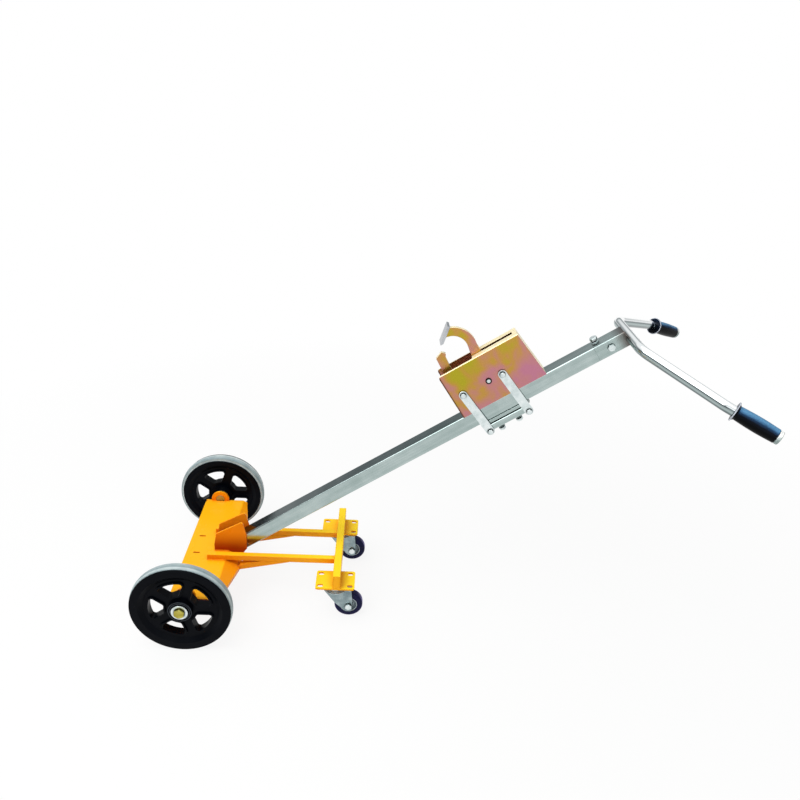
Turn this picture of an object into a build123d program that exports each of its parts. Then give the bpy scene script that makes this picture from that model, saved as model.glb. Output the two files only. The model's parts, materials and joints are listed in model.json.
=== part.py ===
from build123d import *
from math import cos, radians, sin, sqrt, tan
import os

# Drum trolley that carries a drum leaning back on a square mast.
# Millimetres. +X runs back to the handle, +Y to the operator's right, +Z up.
# The origin is on the floor, on the centre plane, half way along the trolley.
# Places along X are measured from the axle of the load wheels.

# Load wheels
wheel_radius = 125
wheel_width = 33
wheel_offset = 256
tread_width = 24
tread_depth = 13
tread_crown = 2
flange_drop = 2.5
inner_flange_drop = 9
flange_edge = 1.5
rim_depth = 22
dish_depth = 12
web_thickness = 15
hub_radius = 30
hub_overhang = 1.5
window_count = 5
window_inner = 41
window_outer = 78
window_turn = 36
window_corner = 7
window_lip = 4
spoke_width = 27

# Axle, bearings and hub fixings
axle_radius = 12.5
bearing_radius = 19
bearing_length = 14
bearing_shoulder = 3
collar_radius = 19
collar_length = 18
axle_plate_thickness = 6
axle_boss_radius = 26
axle_plate_depth = 24
hub_washer_radius = 20.5
hub_washer_thickness = 4
hub_bolt_radius = 7
hub_bolt_length = 32
hub_bolt_flats = 22
hub_bolt_head = 6.5

# Folded base plate
base_top = 120
base_thickness = 8
base_front = -42
base_bend = 68
base_rear = 106
base_rear_corner = 80
base_rear_straight = 72
base_fold = 28
fold_radius = 4
base_corner = 9
slot_length = 18
slot_width = 5
slot_x = -14
slot_offset = 37

# Mast and its cheek plates
mast_size = 40
mast_wall = 2
mast_corner = 3
mast_angle = 34.32
mast_floor_x = -102.5
mast_end = 1312
cheek_thickness = 5
cheek_front = 32
cheek_lean = 6
cheek_front_rise = 54
cheek_peak_x = 110
cheek_peak_rise = 95
cheek_rear = 120
cheek_rear_rise = 8
cheek_heel = 100
cheek_corner = 6

# Rear outrigger
stringer_size = 16
stringer_wall = 1.5
stringer_offset = 58
stringer_front = 21
brace_slope = 12.5
brace_meet = 240
cross_bar_width = 20
cross_bar_height = 40
cross_bar_wall = 2
cross_bar_x = 371
cross_bar_cap = 3

# Casters
caster_x = 367
caster_offset = 119
caster_trail = 36
caster_radius = 37.5
caster_width = 24
caster_plate_length = 102
caster_plate_width = 72
caster_plate_thickness = 5
caster_plate_top = 110
caster_plate_corner = 6
plate_hole_width = 10.5
plate_hole_length = 15
plate_hole_pitch_x = 77
plate_hole_pitch_y = 48
kingpin_radius = 6
kingpin_head_radius = 11
kingpin_head = 4
race_radius = 24
race_height = 8
race_step = 4
crown_radius = 31
fork_top = 88
fork_sheet = 3
fork_front = 29
fork_back = 43
fork_waist = 1
fork_waist_height = 46
fork_sole = 7
fork_heel = 10
fork_boss = 18
fork_shin = 20
fork_corner = 5
fork_wheel_gap = 2
caster_tyre_depth = 14
caster_disc_width = 14
caster_core_lip = 3
caster_core_inset = 1
caster_hub_radius = 12
caster_axle_radius = 5
caster_axle_flats = 16
caster_axle_head = 6.5

# Handle
stub_length = 80
stub_end_plate = 8
saddle_depth = 4.5
spigot_wall = 2.5
spigot_grip = 60
handle_radius = 12.5
handle_wall = 1.5
handle_drop = 4
handle_tilt = 21.9
handle_bend_radius = 55
handle_cross = 100
arm_reach = 157
arm_spread = 254.5
grip_splay = 29.2
grip_start = 20
grip_length = 97
grip_radius = 16.5
grip_swell = 1.5
grip_flange_radius = 22.5
grip_flange = 4
plug_radius = 16
plug_head = 9
plug_chamfer = 2
plug_spigot = 18
handle_bolt_radius = 5
handle_bolt_flats = 17
handle_bolt_head = 6.5
handle_nut = 8
clamp_screw_place = 10
clamp_screw_stand = 3
side_bolt_place = 37.5

# Gripping head, measured along the mast from the head's front end
# and up from the mast's top face
head_place = 954
head_length = 217
head_heel = 14
head_height = 130
head_width = 49
head_sheet = 2
head_corner = 3
head_nose = 8
mouth_length = 95
mouth_width = 41
mouth_corner = 4
jaw_slot_end = 206
jaw_slot_width = 12
jaw_pin_place = 101.6
jaw_pin_height = 58.4
jaw_pin_radius = 7
jaw_pin_stand = 2
jaw_thickness = 10
jaw_spacer_radius = 12
hook_centre_place = 62
hook_drop = 11
hook_inner_radius = 39
hook_arm = 22
hook_root_angle = -12
hook_hub_radius = 20
hook_tail = 46
hook_tail_width = 26
tooth_lead = 16
tooth_rise = 34
tooth_length = 50
tooth_angle = 40
tooth_thickness = 6.5
tooth_width = 36
tooth_bevel = 5
lower_jaw_front = 15
lower_jaw_width = 22
lower_jaw_lean = 3
lower_jaw_height = 176
lower_jaw_nose = 8
lower_jaw_foot = 50
jaw_edge = 2
stop_length = 14
stop_width = 22
stop_height = 18

# Links and clamp under the mast
link_place = 30
link_pitch = 109
link_height = 58.5
link_lean = 4.8
link_width = 21.5
link_thickness = 4
link_bolt_radius = 4
link_bolt_flats = 13
link_bolt_head = 5.5
clamp_height = 16
clamp_wall = 3
clamp_corner = 3
clamp_ear = 9
clamp_pivot_drop = 14
shoe_length = 112
shoe_thickness = 8.5
shoe_lip = 1
shoe_boss_radius = 10
shoe_boss = 2.5
shoe_chamfer = 2
shoe_bolt_first = 68
shoe_bolt_pitch = 49
shoe_bolt_radius = 5
shoe_bolt_flats = 16
shoe_bolt_head = 7
shoe_bolt_drop = 32
shoe_bolt_nut = 8

# Clearances
side_gap = 0.3
running_fit = 0.05
slip_fit = 0.2

os.makedirs("parts", exist_ok=True)

# Sides: the operator's left is -Y, the right is +Y
sides = (("left", -1), ("right", 1))

# Where the handle tube crosses the mast's end, seen from the axle
mast_half = mast_size / 2
mast_cos = cos(radians(mast_angle))
mast_sin = sin(radians(mast_angle))
stub_end = mast_end + stub_length
handle_place = stub_end + handle_radius - saddle_depth
handle_x = mast_floor_x + handle_place * mast_cos + handle_drop * mast_sin
handle_z = handle_place * mast_sin - handle_drop * mast_cos

# The rearmost point is on the rim of the grip plugs, which sets the middle
tilt_cos = cos(radians(handle_tilt))
tilt_sin = sin(radians(handle_tilt))
grip_back = cos(radians(grip_splay)) * tilt_cos
grip_end = grip_start + grip_length + plug_head
plug_back = (plug_radius - plug_chamfer) * sqrt(1 - grip_back**2)
reach = handle_x + arm_reach * tilt_cos + grip_end * grip_back + plug_back
axle_x = (wheel_radius - reach) / 2


def side_plane(y):
    """Upright plane at y: local x is the distance behind the axle, local y the height."""
    return Plane(origin=(axle_x, y, 0), x_dir=(1, 0, 0), z_dir=(0, -1, 0))


def floor_plane(x, y, height):
    """Level plane whose origin lies x behind the axle."""
    return Plane(origin=(axle_x + x, y, height))


def mast_plane(place, y, height):
    """Upright plane along the mast: local x runs up the mast, local y away from its centre line."""
    start = mast_floor_x + place * mast_cos - height * mast_sin
    rise = place * mast_sin + height * mast_cos
    return Plane(origin=(axle_x + start, y, rise), x_dir=(mast_cos, 0, mast_sin), z_dir=(0, -1, 0))


def head_plane(y):
    """Upright plane of the gripping head, from its front end and the mast's top face."""
    return mast_plane(head_place, y, mast_half)


def mast_section(place):
    """Plane square to the mast: local x is +Y, local y points away from the floor."""
    here = mast_plane(place, 0, 0)
    return Plane(origin=here.origin, x_dir=(0, 1, 0), z_dir=here.x_dir)


def on_plane(plane, x, y, turn):
    """Plane moved by x and y within another plane and then turned about its own axes."""
    return Plane(plane.location * Location((x, y, 0), turn))


def wheel_plane(side):
    """Half-plane for turned wheel pieces: local x is the distance from the centre plane."""
    return Plane(origin=(axle_x, 0, wheel_radius), x_dir=(0, side, 0), z_dir=(side, 0, 0))


def base_surface(x):
    """Height of the folded base plate's upper face at x behind the axle."""
    return base_top - max(0, x - base_bend) * tan(radians(base_fold))


def hexagon(plane, across_flats, height):
    """Hexagonal head or nut that stands on a plane."""
    with BuildSketch(plane) as section:
        RegularPolygon(across_flats / 2, 6, major_radius=False)
    extrude(section.sketch, amount=height)


def disc(plane, radius, height):
    """Round bar that stands on a plane."""
    with BuildSketch(plane) as section:
        Circle(radius)
    extrude(section.sketch, amount=height)


def bore(plane, radius, depth):
    """Round hole cut to both sides of a plane."""
    with BuildSketch(plane) as section:
        Circle(radius)
    extrude(section.sketch, amount=depth, both=True, mode=Mode.SUBTRACT)


def save(piece, name):
    """Name a piece and write its STEP file."""
    piece.part.label = name
    export_step(piece.part, f"parts/{name}.step")


# Load wheels: rim, tread and bearings
wheel_axis = Axis((axle_x, 0, wheel_radius), (0, 1, 0))
face_in = wheel_offset - wheel_width / 2
face_out = wheel_offset + wheel_width / 2
hub_in = face_in - hub_overhang
hub_out = face_out + hub_overhang
seat_radius = wheel_radius - tread_depth
rim_radius = wheel_radius - flange_drop
inner_rim_radius = wheel_radius - inner_flange_drop
ring_radius = seat_radius - rim_depth
web_in = wheel_offset - web_thickness / 2
web_out = wheel_offset + web_thickness / 2
tread_in = wheel_offset - tread_width / 2
tread_out = wheel_offset + tread_width / 2
hub_core_radius = bearing_radius - bearing_shoulder

rim_profile = [
    (hub_in, bearing_radius),
    (hub_in, hub_radius),
    (web_in, hub_radius),
    (web_in, ring_radius),
    (face_in, ring_radius + dish_depth),
    (face_in, inner_rim_radius),
    (tread_in, inner_rim_radius),
    (tread_in, seat_radius),
    (tread_out, seat_radius),
    (tread_out, rim_radius),
    (face_out, rim_radius),
    (face_out, ring_radius + dish_depth),
    (web_out, ring_radius),
    (web_out, hub_radius),
    (hub_out, hub_radius),
    (hub_out, bearing_radius),
    (hub_out - bearing_length, bearing_radius),
    (hub_out - bearing_length, hub_core_radius),
    (hub_in + bearing_length, hub_core_radius),
    (hub_in + bearing_length, bearing_radius),
]


def window_sketch(growth):
    """The windows between the spokes, each edge moved outwards by growth."""
    Circle(window_outer + growth)
    Circle(window_inner - growth, mode=Mode.SUBTRACT)
    with PolarLocations(0, window_count, start_angle=window_turn - 180 / window_count):
        Rectangle(
            wheel_radius,
            spoke_width - 2 * growth,
            align=(Align.MIN, Align.CENTER),
            mode=Mode.SUBTRACT,
        )


for name, side in sides:
    middle = Plane(
        origin=(axle_x, side * wheel_offset, wheel_radius), x_dir=(1, 0, 0), z_dir=(0, -1, 0)
    )
    with BuildPart() as rim:
        with BuildSketch(wheel_plane(side)) as section:
            Polygon(*rim_profile, align=None)
            fillet(section.vertices().group_by(Axis.Y)[-2:], flange_edge)
        revolve(axis=wheel_axis)
        with BuildSketch(middle) as lips:
            window_sketch(window_lip)
            fillet(lips.vertices(), window_corner + window_lip)
        extrude(amount=web_thickness / 2 + window_lip, both=True)
        with BuildSketch(middle) as windows:
            window_sketch(0)
            fillet(windows.vertices(), window_corner)
        extrude(amount=wheel_width, both=True, mode=Mode.SUBTRACT)
    save(rim, f"{name}_wheel_rim")

    with BuildPart() as tread:
        with BuildSketch(wheel_plane(side)):
            with BuildLine():
                crown = ThreePointArc(
                    (tread_in, wheel_radius - tread_crown),
                    (wheel_offset, wheel_radius),
                    (tread_out, wheel_radius - tread_crown),
                )
                Polyline(crown @ 1, (tread_out, seat_radius), (tread_in, seat_radius), crown @ 0)
            make_face()
        revolve(axis=wheel_axis)
    save(tread, f"{name}_wheel_tread")

    with BuildPart() as bearings:
        for start in (hub_in, hub_out - bearing_length):
            seat = on_plane(wheel_plane(side), start, 0, (0, 90, 0))
            with BuildSketch(seat):
                Circle(bearing_radius)
                Circle(axle_radius + running_fit, mode=Mode.SUBTRACT)
            extrude(amount=bearing_length)
    save(bearings, f"{name}_wheel_bearings")

# Axle plates and stub axles
axle_collar_end = hub_in - side_gap
axle_end = hub_out + side_gap
plate_out = axle_collar_end - collar_length
base_half = plate_out - axle_plate_thickness

for name, side in sides:
    with BuildPart() as axle_plate:
        with BuildSketch(side_plane(side * base_half)) as face:
            Polygon(
                (base_front, base_top),
                (base_front, base_top - base_thickness),
                (0, base_top - axle_plate_depth),
                (base_bend, base_top - axle_plate_depth),
                (base_rear_corner, base_surface(base_rear_corner) - base_thickness),
                (base_rear_corner, base_surface(base_rear_corner)),
                (base_bend, base_top),
                align=None,
            )
            with Locations((0, wheel_radius)):
                Circle(axle_boss_radius)
                Circle(axle_radius, mode=Mode.SUBTRACT)
        extrude(amount=-side * axle_plate_thickness)
    save(axle_plate, f"{name}_axle_plate")

    with BuildPart() as stub_axle:
        with BuildSketch(wheel_plane(side)):
            Polygon(
                (base_half, 0),
                (base_half, axle_radius),
                (plate_out, axle_radius),
                (plate_out, collar_radius),
                (axle_collar_end, collar_radius),
                (axle_collar_end, axle_radius),
                (axle_end, axle_radius),
                (axle_end, hub_bolt_radius),
                (axle_end - hub_bolt_length, hub_bolt_radius),
                (axle_end - hub_bolt_length, 0),
                align=None,
            )
        revolve(axis=wheel_axis)
    save(stub_axle, f"{name}_stub_axle")

with BuildPart() as hub_washers:
    for name, side in sides:
        seat = on_plane(wheel_plane(side), axle_end, 0, (0, 90, 0))
        with BuildSketch(seat):
            Circle(hub_washer_radius)
            Circle(hub_bolt_radius, mode=Mode.SUBTRACT)
        extrude(amount=hub_washer_thickness)
save(hub_washers, "hub_washers")

with BuildPart() as hub_bolts:
    for name, side in sides:
        seat = on_plane(wheel_plane(side), axle_end + hub_washer_thickness, 0, (0, 90, 0))
        hexagon(seat, hub_bolt_flats, hub_bolt_head)
        disc(seat, hub_bolt_radius, -hub_bolt_length - hub_washer_thickness)
save(hub_bolts, "hub_bolts")

# Base plate: one sheet folded down behind the mast's foot
fold_back = base_thickness * tan(radians(base_fold / 2))
fold_drop = base_thickness / cos(radians(base_fold))
fold_inside = (base_bend - fold_back, base_top - base_thickness)

with BuildPart() as base_plate:
    with BuildSketch(side_plane(0)) as fold:
        Polygon(
            (base_front, base_top),
            (base_bend, base_top),
            (base_rear, base_surface(base_rear)),
            (base_rear, base_surface(base_rear) - fold_drop),
            fold_inside,
            (base_front, base_top - base_thickness),
            align=None,
        )
        fillet(fold.vertices().sort_by_distance((base_bend, base_top))[0], fold_radius + base_thickness)
        fillet(fold.vertices().sort_by_distance(fold_inside)[0], fold_radius)
    extrude(amount=base_half, both=True)
    with BuildSketch(floor_plane(0, 0, 0)) as plan:
        Polygon(
            (base_front, base_half),
            (base_rear_corner, base_half),
            (base_rear, base_rear_straight),
            (base_rear, -base_rear_straight),
            (base_rear_corner, -base_half),
            (base_front, -base_half),
            align=None,
        )
        fillet(plan.vertices().group_by(Axis.X)[0], base_corner)
        with Locations((slot_x, slot_offset), (slot_x, -slot_offset)):
            SlotOverall(slot_length, slot_width, mode=Mode.SUBTRACT)
    extrude(amount=base_top, mode=Mode.INTERSECT)
save(base_plate, "base_plate")

# Mast: square tube whose foot is cut to the base plate
foot_place = base_top / mast_sin - 1.5 * mast_size
mast_bore = mast_size - 2 * mast_wall
bore_corner = max(mast_corner - mast_wall, slip_fit)

with BuildPart() as mast:
    with BuildSketch(mast_section(foot_place)):
        RectangleRounded(mast_size, mast_size, mast_corner)
        RectangleRounded(mast_bore, mast_bore, bore_corner, mode=Mode.SUBTRACT)
    extrude(amount=mast_end - foot_place)
    with BuildSketch(side_plane(0)):
        Polygon(
            (base_bend - 4 * mast_size, base_top),
            (base_bend, base_top),
            (base_bend + 4 * mast_size, base_surface(base_bend + 4 * mast_size)),
            (base_bend - 4 * mast_size, base_surface(base_bend + 4 * mast_size)),
            align=None,
        )
    extrude(amount=mast_size, both=True, mode=Mode.SUBTRACT)
save(mast, "mast")

# Cheek plates: brace the mast's foot and guide the drum's wall
cheek_outline = [
    (cheek_front, base_top),
    (cheek_front, base_top + cheek_front_rise / 3),
    (cheek_front + cheek_lean, base_top + cheek_front_rise),
    (cheek_peak_x, base_top + cheek_peak_rise),
    (cheek_rear, base_top + cheek_front_rise),
    (cheek_rear, base_top + cheek_rear_rise),
    (cheek_heel, base_surface(cheek_heel)),
    (base_bend, base_top),
]

for name, side in sides:
    with BuildPart() as cheek:
        with BuildSketch(side_plane(side * mast_half)) as face:
            Polygon(*cheek_outline, align=None)
            fillet(face.vertices().group_by(Axis.Y)[-1], cheek_corner)
        extrude(amount=-side * cheek_thickness)
    save(cheek, f"{name}_cheek")

# Stringers, braces and the cross bar of the rear outrigger
cross_bar_front = cross_bar_x - cross_bar_width / 2
stringer_bore = stringer_size - 2 * stringer_wall
brace_rise = tan(radians(brace_slope))
brace_height = stringer_size / cos(radians(brace_slope))
brace_skin = stringer_wall / cos(radians(brace_slope))
brace_bottom = base_top - (brace_meet - base_rear) * brace_rise
brace_top_meet = brace_meet - brace_height / brace_rise

for name, side in sides:
    with BuildPart() as stringer:
        start = floor_plane(stringer_front, side * stringer_offset, base_top + stringer_size / 2)
        with BuildSketch(on_plane(start, 0, 0, (0, 90, 0))):
            RectangleRounded(stringer_size, stringer_size, stringer_wall)
            Rectangle(stringer_bore, stringer_bore, mode=Mode.SUBTRACT)
        extrude(amount=cross_bar_front - stringer_front)
    save(stringer, f"{name}_stringer")

    with BuildPart() as brace:
        with BuildSketch(side_plane(side * stringer_offset)):
            Polygon(
                (base_rear, brace_bottom),
                (brace_meet, base_top),
                (brace_top_meet, base_top),
                (base_rear, brace_bottom + brace_height),
                align=None,
            )
        extrude(amount=stringer_size / 2, both=True)
        with BuildSketch(side_plane(side * stringer_offset)):
            Polygon(
                (base_rear, brace_bottom + brace_skin),
                (brace_meet - brace_skin / brace_rise, base_top),
                (brace_top_meet + brace_skin / brace_rise, base_top),
                (base_rear, brace_bottom + brace_height - brace_skin),
                align=None,
            )
        extrude(amount=stringer_bore / 2, both=True, mode=Mode.SUBTRACT)
    save(brace, f"{name}_brace")

cross_bar_half = caster_offset + caster_plate_width / 2
cross_bar_bore = (cross_bar_width - 2 * cross_bar_wall, cross_bar_height - 2 * cross_bar_wall)

with BuildPart() as cross_bar:
    with BuildSketch(side_plane(0)):
        with Locations((cross_bar_x, caster_plate_top + cross_bar_height / 2)):
            RectangleRounded(cross_bar_width, cross_bar_height, cross_bar_wall)
            Rectangle(*cross_bar_bore, mode=Mode.SUBTRACT)
    extrude(amount=cross_bar_half, both=True)
save(cross_bar, "cross_bar")

with BuildPart() as cross_bar_caps:
    for name, side in sides:
        with BuildSketch(side_plane(side * cross_bar_half)):
            with Locations((cross_bar_x, caster_plate_top + cross_bar_height / 2)):
                Rectangle(*cross_bar_bore)
        extrude(amount=side * cross_bar_cap)
save(cross_bar_caps, "cross_bar_caps")

# Casters: plate, race and kingpin stay with the frame; the fork swivels under them
plate_bottom = caster_plate_top - caster_plate_thickness
race_bottom = plate_bottom - race_height
fork_half = caster_width / 2 + fork_wheel_gap
axle_place = caster_x + caster_trail
core_half = caster_width / 2 - caster_core_inset
tyre_bore = caster_radius - caster_tyre_depth
kingpin_seat = fork_top - fork_sheet - side_gap

fork_leg = [
    (caster_x - fork_front, fork_top),
    (caster_x + fork_back, fork_top),
    (axle_place + fork_heel, caster_radius + fork_shin),
    (axle_place + fork_heel, caster_radius - fork_boss / 2),
    (axle_place + fork_sole, caster_radius - fork_boss),
    (axle_place - fork_sole, caster_radius - fork_boss),
    (caster_x + fork_waist, fork_waist_height),
]

for name, side in sides:
    y = side * caster_offset
    with BuildPart() as caster_plate:
        with BuildSketch(floor_plane(caster_x, y, caster_plate_top)):
            RectangleRounded(caster_plate_length, caster_plate_width, caster_plate_corner)
            with GridLocations(plate_hole_pitch_x, plate_hole_pitch_y, 2, 2):
                SlotOverall(plate_hole_length, plate_hole_width, mode=Mode.SUBTRACT)
            Circle(kingpin_radius, mode=Mode.SUBTRACT)
        extrude(amount=-caster_plate_thickness)
    save(caster_plate, f"{name}_caster_plate")

    with BuildPart() as fork:
        with BuildSketch(side_plane(y)) as leg:
            Polygon(*fork_leg, align=None)
            fillet(leg.vertices().group_by(Axis.Y)[0:-1], fork_corner)
        extrude(amount=fork_half + fork_sheet, both=True)
        with BuildSketch(side_plane(y)):
            with Locations((caster_x, fork_top - fork_sheet)):
                Rectangle(4 * caster_radius, fork_top, align=(Align.CENTER, Align.MAX))
        extrude(amount=fork_half, both=True, mode=Mode.SUBTRACT)
        disc(floor_plane(caster_x, y, fork_top), crown_radius, -fork_sheet)
        disc(floor_plane(caster_x, y, fork_top), race_radius - race_step, race_bottom - side_gap - fork_top)
        bore(floor_plane(caster_x, y, fork_top), kingpin_radius + running_fit, fork_top - race_height)
        axle_seat = on_plane(side_plane(y), axle_place, caster_radius, (0, 0, 0))
        bore(axle_seat, caster_axle_radius, 2 * fork_half)
    save(fork, f"{name}_caster_fork")

    caster_axis = Axis((axle_x + axle_place, y, caster_radius), (0, 1, 0))
    turned = Plane(
        origin=(axle_x + axle_place, y, caster_radius), x_dir=(0, 1, 0), z_dir=(1, 0, 0)
    )
    with BuildPart() as caster_core:
        with BuildSketch(turned):
            Polygon(
                (-fork_half + side_gap, caster_axle_radius + running_fit),
                (-fork_half + side_gap, caster_hub_radius),
                (-caster_disc_width / 2, caster_hub_radius),
                (-caster_disc_width / 2, tyre_bore - caster_core_lip - caster_core_inset),
                (-core_half, tyre_bore - caster_core_lip),
                (-core_half, tyre_bore),
                (core_half, tyre_bore),
                (core_half, tyre_bore - caster_core_lip),
                (caster_disc_width / 2, tyre_bore - caster_core_lip - caster_core_inset),
                (caster_disc_width / 2, caster_hub_radius),
                (fork_half - side_gap, caster_hub_radius),
                (fork_half - side_gap, caster_axle_radius + running_fit),
                align=None,
            )
        revolve(axis=caster_axis)
    save(caster_core, f"{name}_caster_core")

    with BuildPart() as caster_tyre:
        with BuildSketch(turned) as section:
            Polygon(
                (-caster_width / 2, tyre_bore),
                (-caster_width / 2, caster_radius),
                (caster_width / 2, caster_radius),
                (caster_width / 2, tyre_bore),
                align=None,
            )
            fillet(section.vertices().group_by(Axis.Y)[-1], caster_tyre_depth / 2)
        revolve(axis=caster_axis)
    save(caster_tyre, f"{name}_caster_tyre")

    with BuildPart() as caster_axle:
        head = on_plane(turned, -fork_half - fork_sheet, 0, (0, -90, 0))
        nut = on_plane(turned, fork_half + fork_sheet, 0, (0, 90, 0))
        hexagon(head, caster_axle_flats, caster_axle_head)
        disc(head, caster_axle_radius, -2 * (fork_half + fork_sheet))
        hexagon(nut, caster_axle_flats, caster_axle_head)
    save(caster_axle, f"{name}_caster_axle")

with BuildPart() as caster_races:
    for name, side in sides:
        seat = floor_plane(caster_x, side * caster_offset, plate_bottom)
        with BuildSketch(seat):
            Circle(race_radius)
            Circle(kingpin_radius, mode=Mode.SUBTRACT)
        extrude(amount=-race_height)
save(caster_races, "caster_races")

with BuildPart() as kingpins:
    for name, side in sides:
        y = side * caster_offset
        disc(floor_plane(caster_x, y, kingpin_seat - kingpin_head), kingpin_head_radius, kingpin_head)
        disc(floor_plane(caster_x, y, kingpin_seat), kingpin_radius, caster_plate_top - kingpin_seat)
save(kingpins, "kingpins")

# Handle: stub on a spigot, bent tube, grips and plugs
spigot_size = mast_bore - 2 * slip_fit
spigot_bore = spigot_size - 2 * spigot_wall
clamp_screw = mast_end + clamp_screw_place
side_bolt = mast_end + side_bolt_place
handle_plane = Plane(
    origin=(axle_x + handle_x, 0, handle_z),
    x_dir=(tilt_cos, 0, -tilt_sin),
    z_dir=(tilt_sin, 0, tilt_cos),
)
screw_seat = on_plane(mast_plane(clamp_screw, 0, mast_half), 0, 0, (-90, 0, 0))
side_seat = mast_plane(side_bolt, 0, 0)

with BuildPart() as handle_stub:
    with BuildSketch(mast_section(mast_end)):
        RectangleRounded(mast_size, mast_size, mast_corner)
    extrude(amount=stub_length)
    with BuildSketch(mast_section(mast_end)):
        RectangleRounded(mast_bore, mast_bore, bore_corner)
    extrude(amount=stub_length - stub_end_plate, mode=Mode.SUBTRACT)
    bore(mast_plane(handle_place, 0, -handle_drop), handle_radius, mast_size)
    bore(side_seat, handle_bolt_radius + slip_fit, mast_size)
    bore(screw_seat, handle_bolt_radius + slip_fit, mast_half)
save(handle_stub, "handle_stub")

with BuildPart() as handle_spigot:
    with BuildSketch(mast_section(mast_end - spigot_grip)):
        RectangleRounded(spigot_size, spigot_size, bore_corner)
        Rectangle(spigot_bore, spigot_bore, mode=Mode.SUBTRACT)
    extrude(amount=2 * spigot_grip)
    bore(side_seat, handle_bolt_radius + slip_fit, mast_size)
save(handle_spigot, "handle_spigot")

with BuildPart() as handle_bolts:
    near = side_seat.offset(mast_half)
    far = side_seat.offset(-mast_half)
    hexagon(near, handle_bolt_flats, handle_bolt_head)
    disc(near, handle_bolt_radius, -mast_size)
    hexagon(far, handle_bolt_flats, -handle_nut)
    hexagon(screw_seat, handle_bolt_flats, handle_nut)
    disc(screw_seat, handle_bolt_radius, handle_nut + clamp_screw_stand)
    disc(screw_seat, handle_bolt_radius, -mast_wall - slip_fit)
    hexagon(screw_seat.offset(handle_nut + clamp_screw_stand), handle_bolt_flats, handle_bolt_head)
save(handle_bolts, "handle_bolts")

tube_end = grip_start + grip_length
tube_reach = arm_reach + tube_end * cos(radians(grip_splay))
tube_spread = arm_spread + tube_end * sin(radians(grip_splay))

with BuildPart() as handlebar:
    with BuildLine(handle_plane) as route:
        FilletPolyline(
            (tube_reach, -tube_spread),
            (arm_reach, -arm_spread),
            (0, -handle_cross),
            (0, handle_cross),
            (arm_reach, arm_spread),
            (tube_reach, tube_spread),
            radius=handle_bend_radius,
        )
    with BuildSketch(Plane(origin=route.line @ 0, z_dir=route.line % 0)):
        Circle(handle_radius)
        Circle(handle_radius - handle_wall, mode=Mode.SUBTRACT)
    sweep(path=route.line)
save(handlebar, "handlebar")


def grip_plane(side):
    """Plane at the last bend of an arm: local x runs out along the grip."""
    return on_plane(handle_plane, arm_reach, side * arm_spread, (0, 0, side * grip_splay))


for name, side in sides:
    along = grip_plane(side)
    with BuildPart() as grip:
        with BuildSketch(along):
            with BuildLine():
                barrel = ThreePointArc(
                    (grip_start + 2 * grip_flange, grip_radius),
                    (grip_start + grip_length / 2, grip_radius + grip_swell),
                    (tube_end, grip_radius),
                )
                Polyline(
                    barrel @ 1,
                    (tube_end, handle_radius),
                    (grip_start, handle_radius),
                    (grip_start, grip_flange_radius),
                    (grip_start + grip_flange, grip_flange_radius),
                    barrel @ 0,
                )
            make_face()
        revolve(axis=Axis(along.origin, along.x_dir))
    save(grip, f"{name}_grip")

with BuildPart() as grip_plugs:
    for name, side in sides:
        along = grip_plane(side)
        with BuildSketch(along):
            Polygon(
                (tube_end - plug_spigot, 0),
                (tube_end - plug_spigot, handle_radius - handle_wall),
                (tube_end, handle_radius - handle_wall),
                (tube_end, plug_radius),
                (grip_end - plug_chamfer, plug_radius),
                (grip_end, plug_radius - plug_chamfer),
                (grip_end, 0),
                align=None,
            )
        revolve(axis=Axis(along.origin, along.x_dir))
save(grip_plugs, "grip_plugs")

# Gripping head: folded housing with a mouth and a slot for the hook
head_half = head_width / 2
head_floor = side_gap + head_sheet
head_roof = head_height - head_sheet


def head_back(height):
    """Place of the housing's leaning rear face at a height above the mast."""
    return head_length + head_heel * (1 - height / head_height)


with BuildPart() as head_housing:
    with BuildSketch(head_plane(0)):
        Polygon(
            (0, side_gap),
            (head_back(side_gap), side_gap),
            (head_length, head_height),
            (0, head_height),
            align=None,
        )
    extrude(amount=head_half, both=True)
    long_edges = head_housing.edges().filter_by(Axis(head_plane(0).origin, head_plane(0).x_dir))
    fillet(long_edges.sort_by(Axis(head_plane(0).origin, head_plane(0).y_dir))[-2:], head_corner)
    with BuildSketch(head_plane(0)):
        Polygon(
            (0, head_floor),
            (head_back(head_floor) - head_sheet, head_floor),
            (head_back(head_roof) - head_sheet, head_roof),
            (0, head_roof),
            align=None,
        )
    extrude(amount=head_half - head_sheet, both=True, mode=Mode.SUBTRACT)
    with BuildSketch(head_plane(0)):
        with Locations((0, head_height)):
            Rectangle(head_nose, head_nose, align=(Align.MIN, Align.MAX))
        with Locations((head_nose, head_height - head_nose)):
            Circle(head_nose, mode=Mode.SUBTRACT)
    extrude(amount=head_half, both=True, mode=Mode.SUBTRACT)
    roof = on_plane(head_plane(0), 0, head_height, (-90, 0, 0))
    with BuildSketch(roof) as openings:
        Rectangle(mouth_length, mouth_width, align=(Align.MIN, Align.CENTER))
        fillet(openings.vertices().group_by(Axis.X)[-1], mouth_corner)
        Rectangle(jaw_slot_end, jaw_slot_width, align=(Align.MIN, Align.CENTER))
    extrude(amount=head_sheet, both=True, mode=Mode.SUBTRACT)
    with BuildSketch(head_plane(0)):
        with Locations((jaw_pin_place, jaw_pin_height)):
            Circle(jaw_pin_radius)
        with Locations((link_place, link_height), (link_place + link_pitch, link_height)):
            Circle(link_bolt_radius)
    extrude(amount=head_width, both=True, mode=Mode.SUBTRACT)
save(head_housing, "head_housing")

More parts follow.
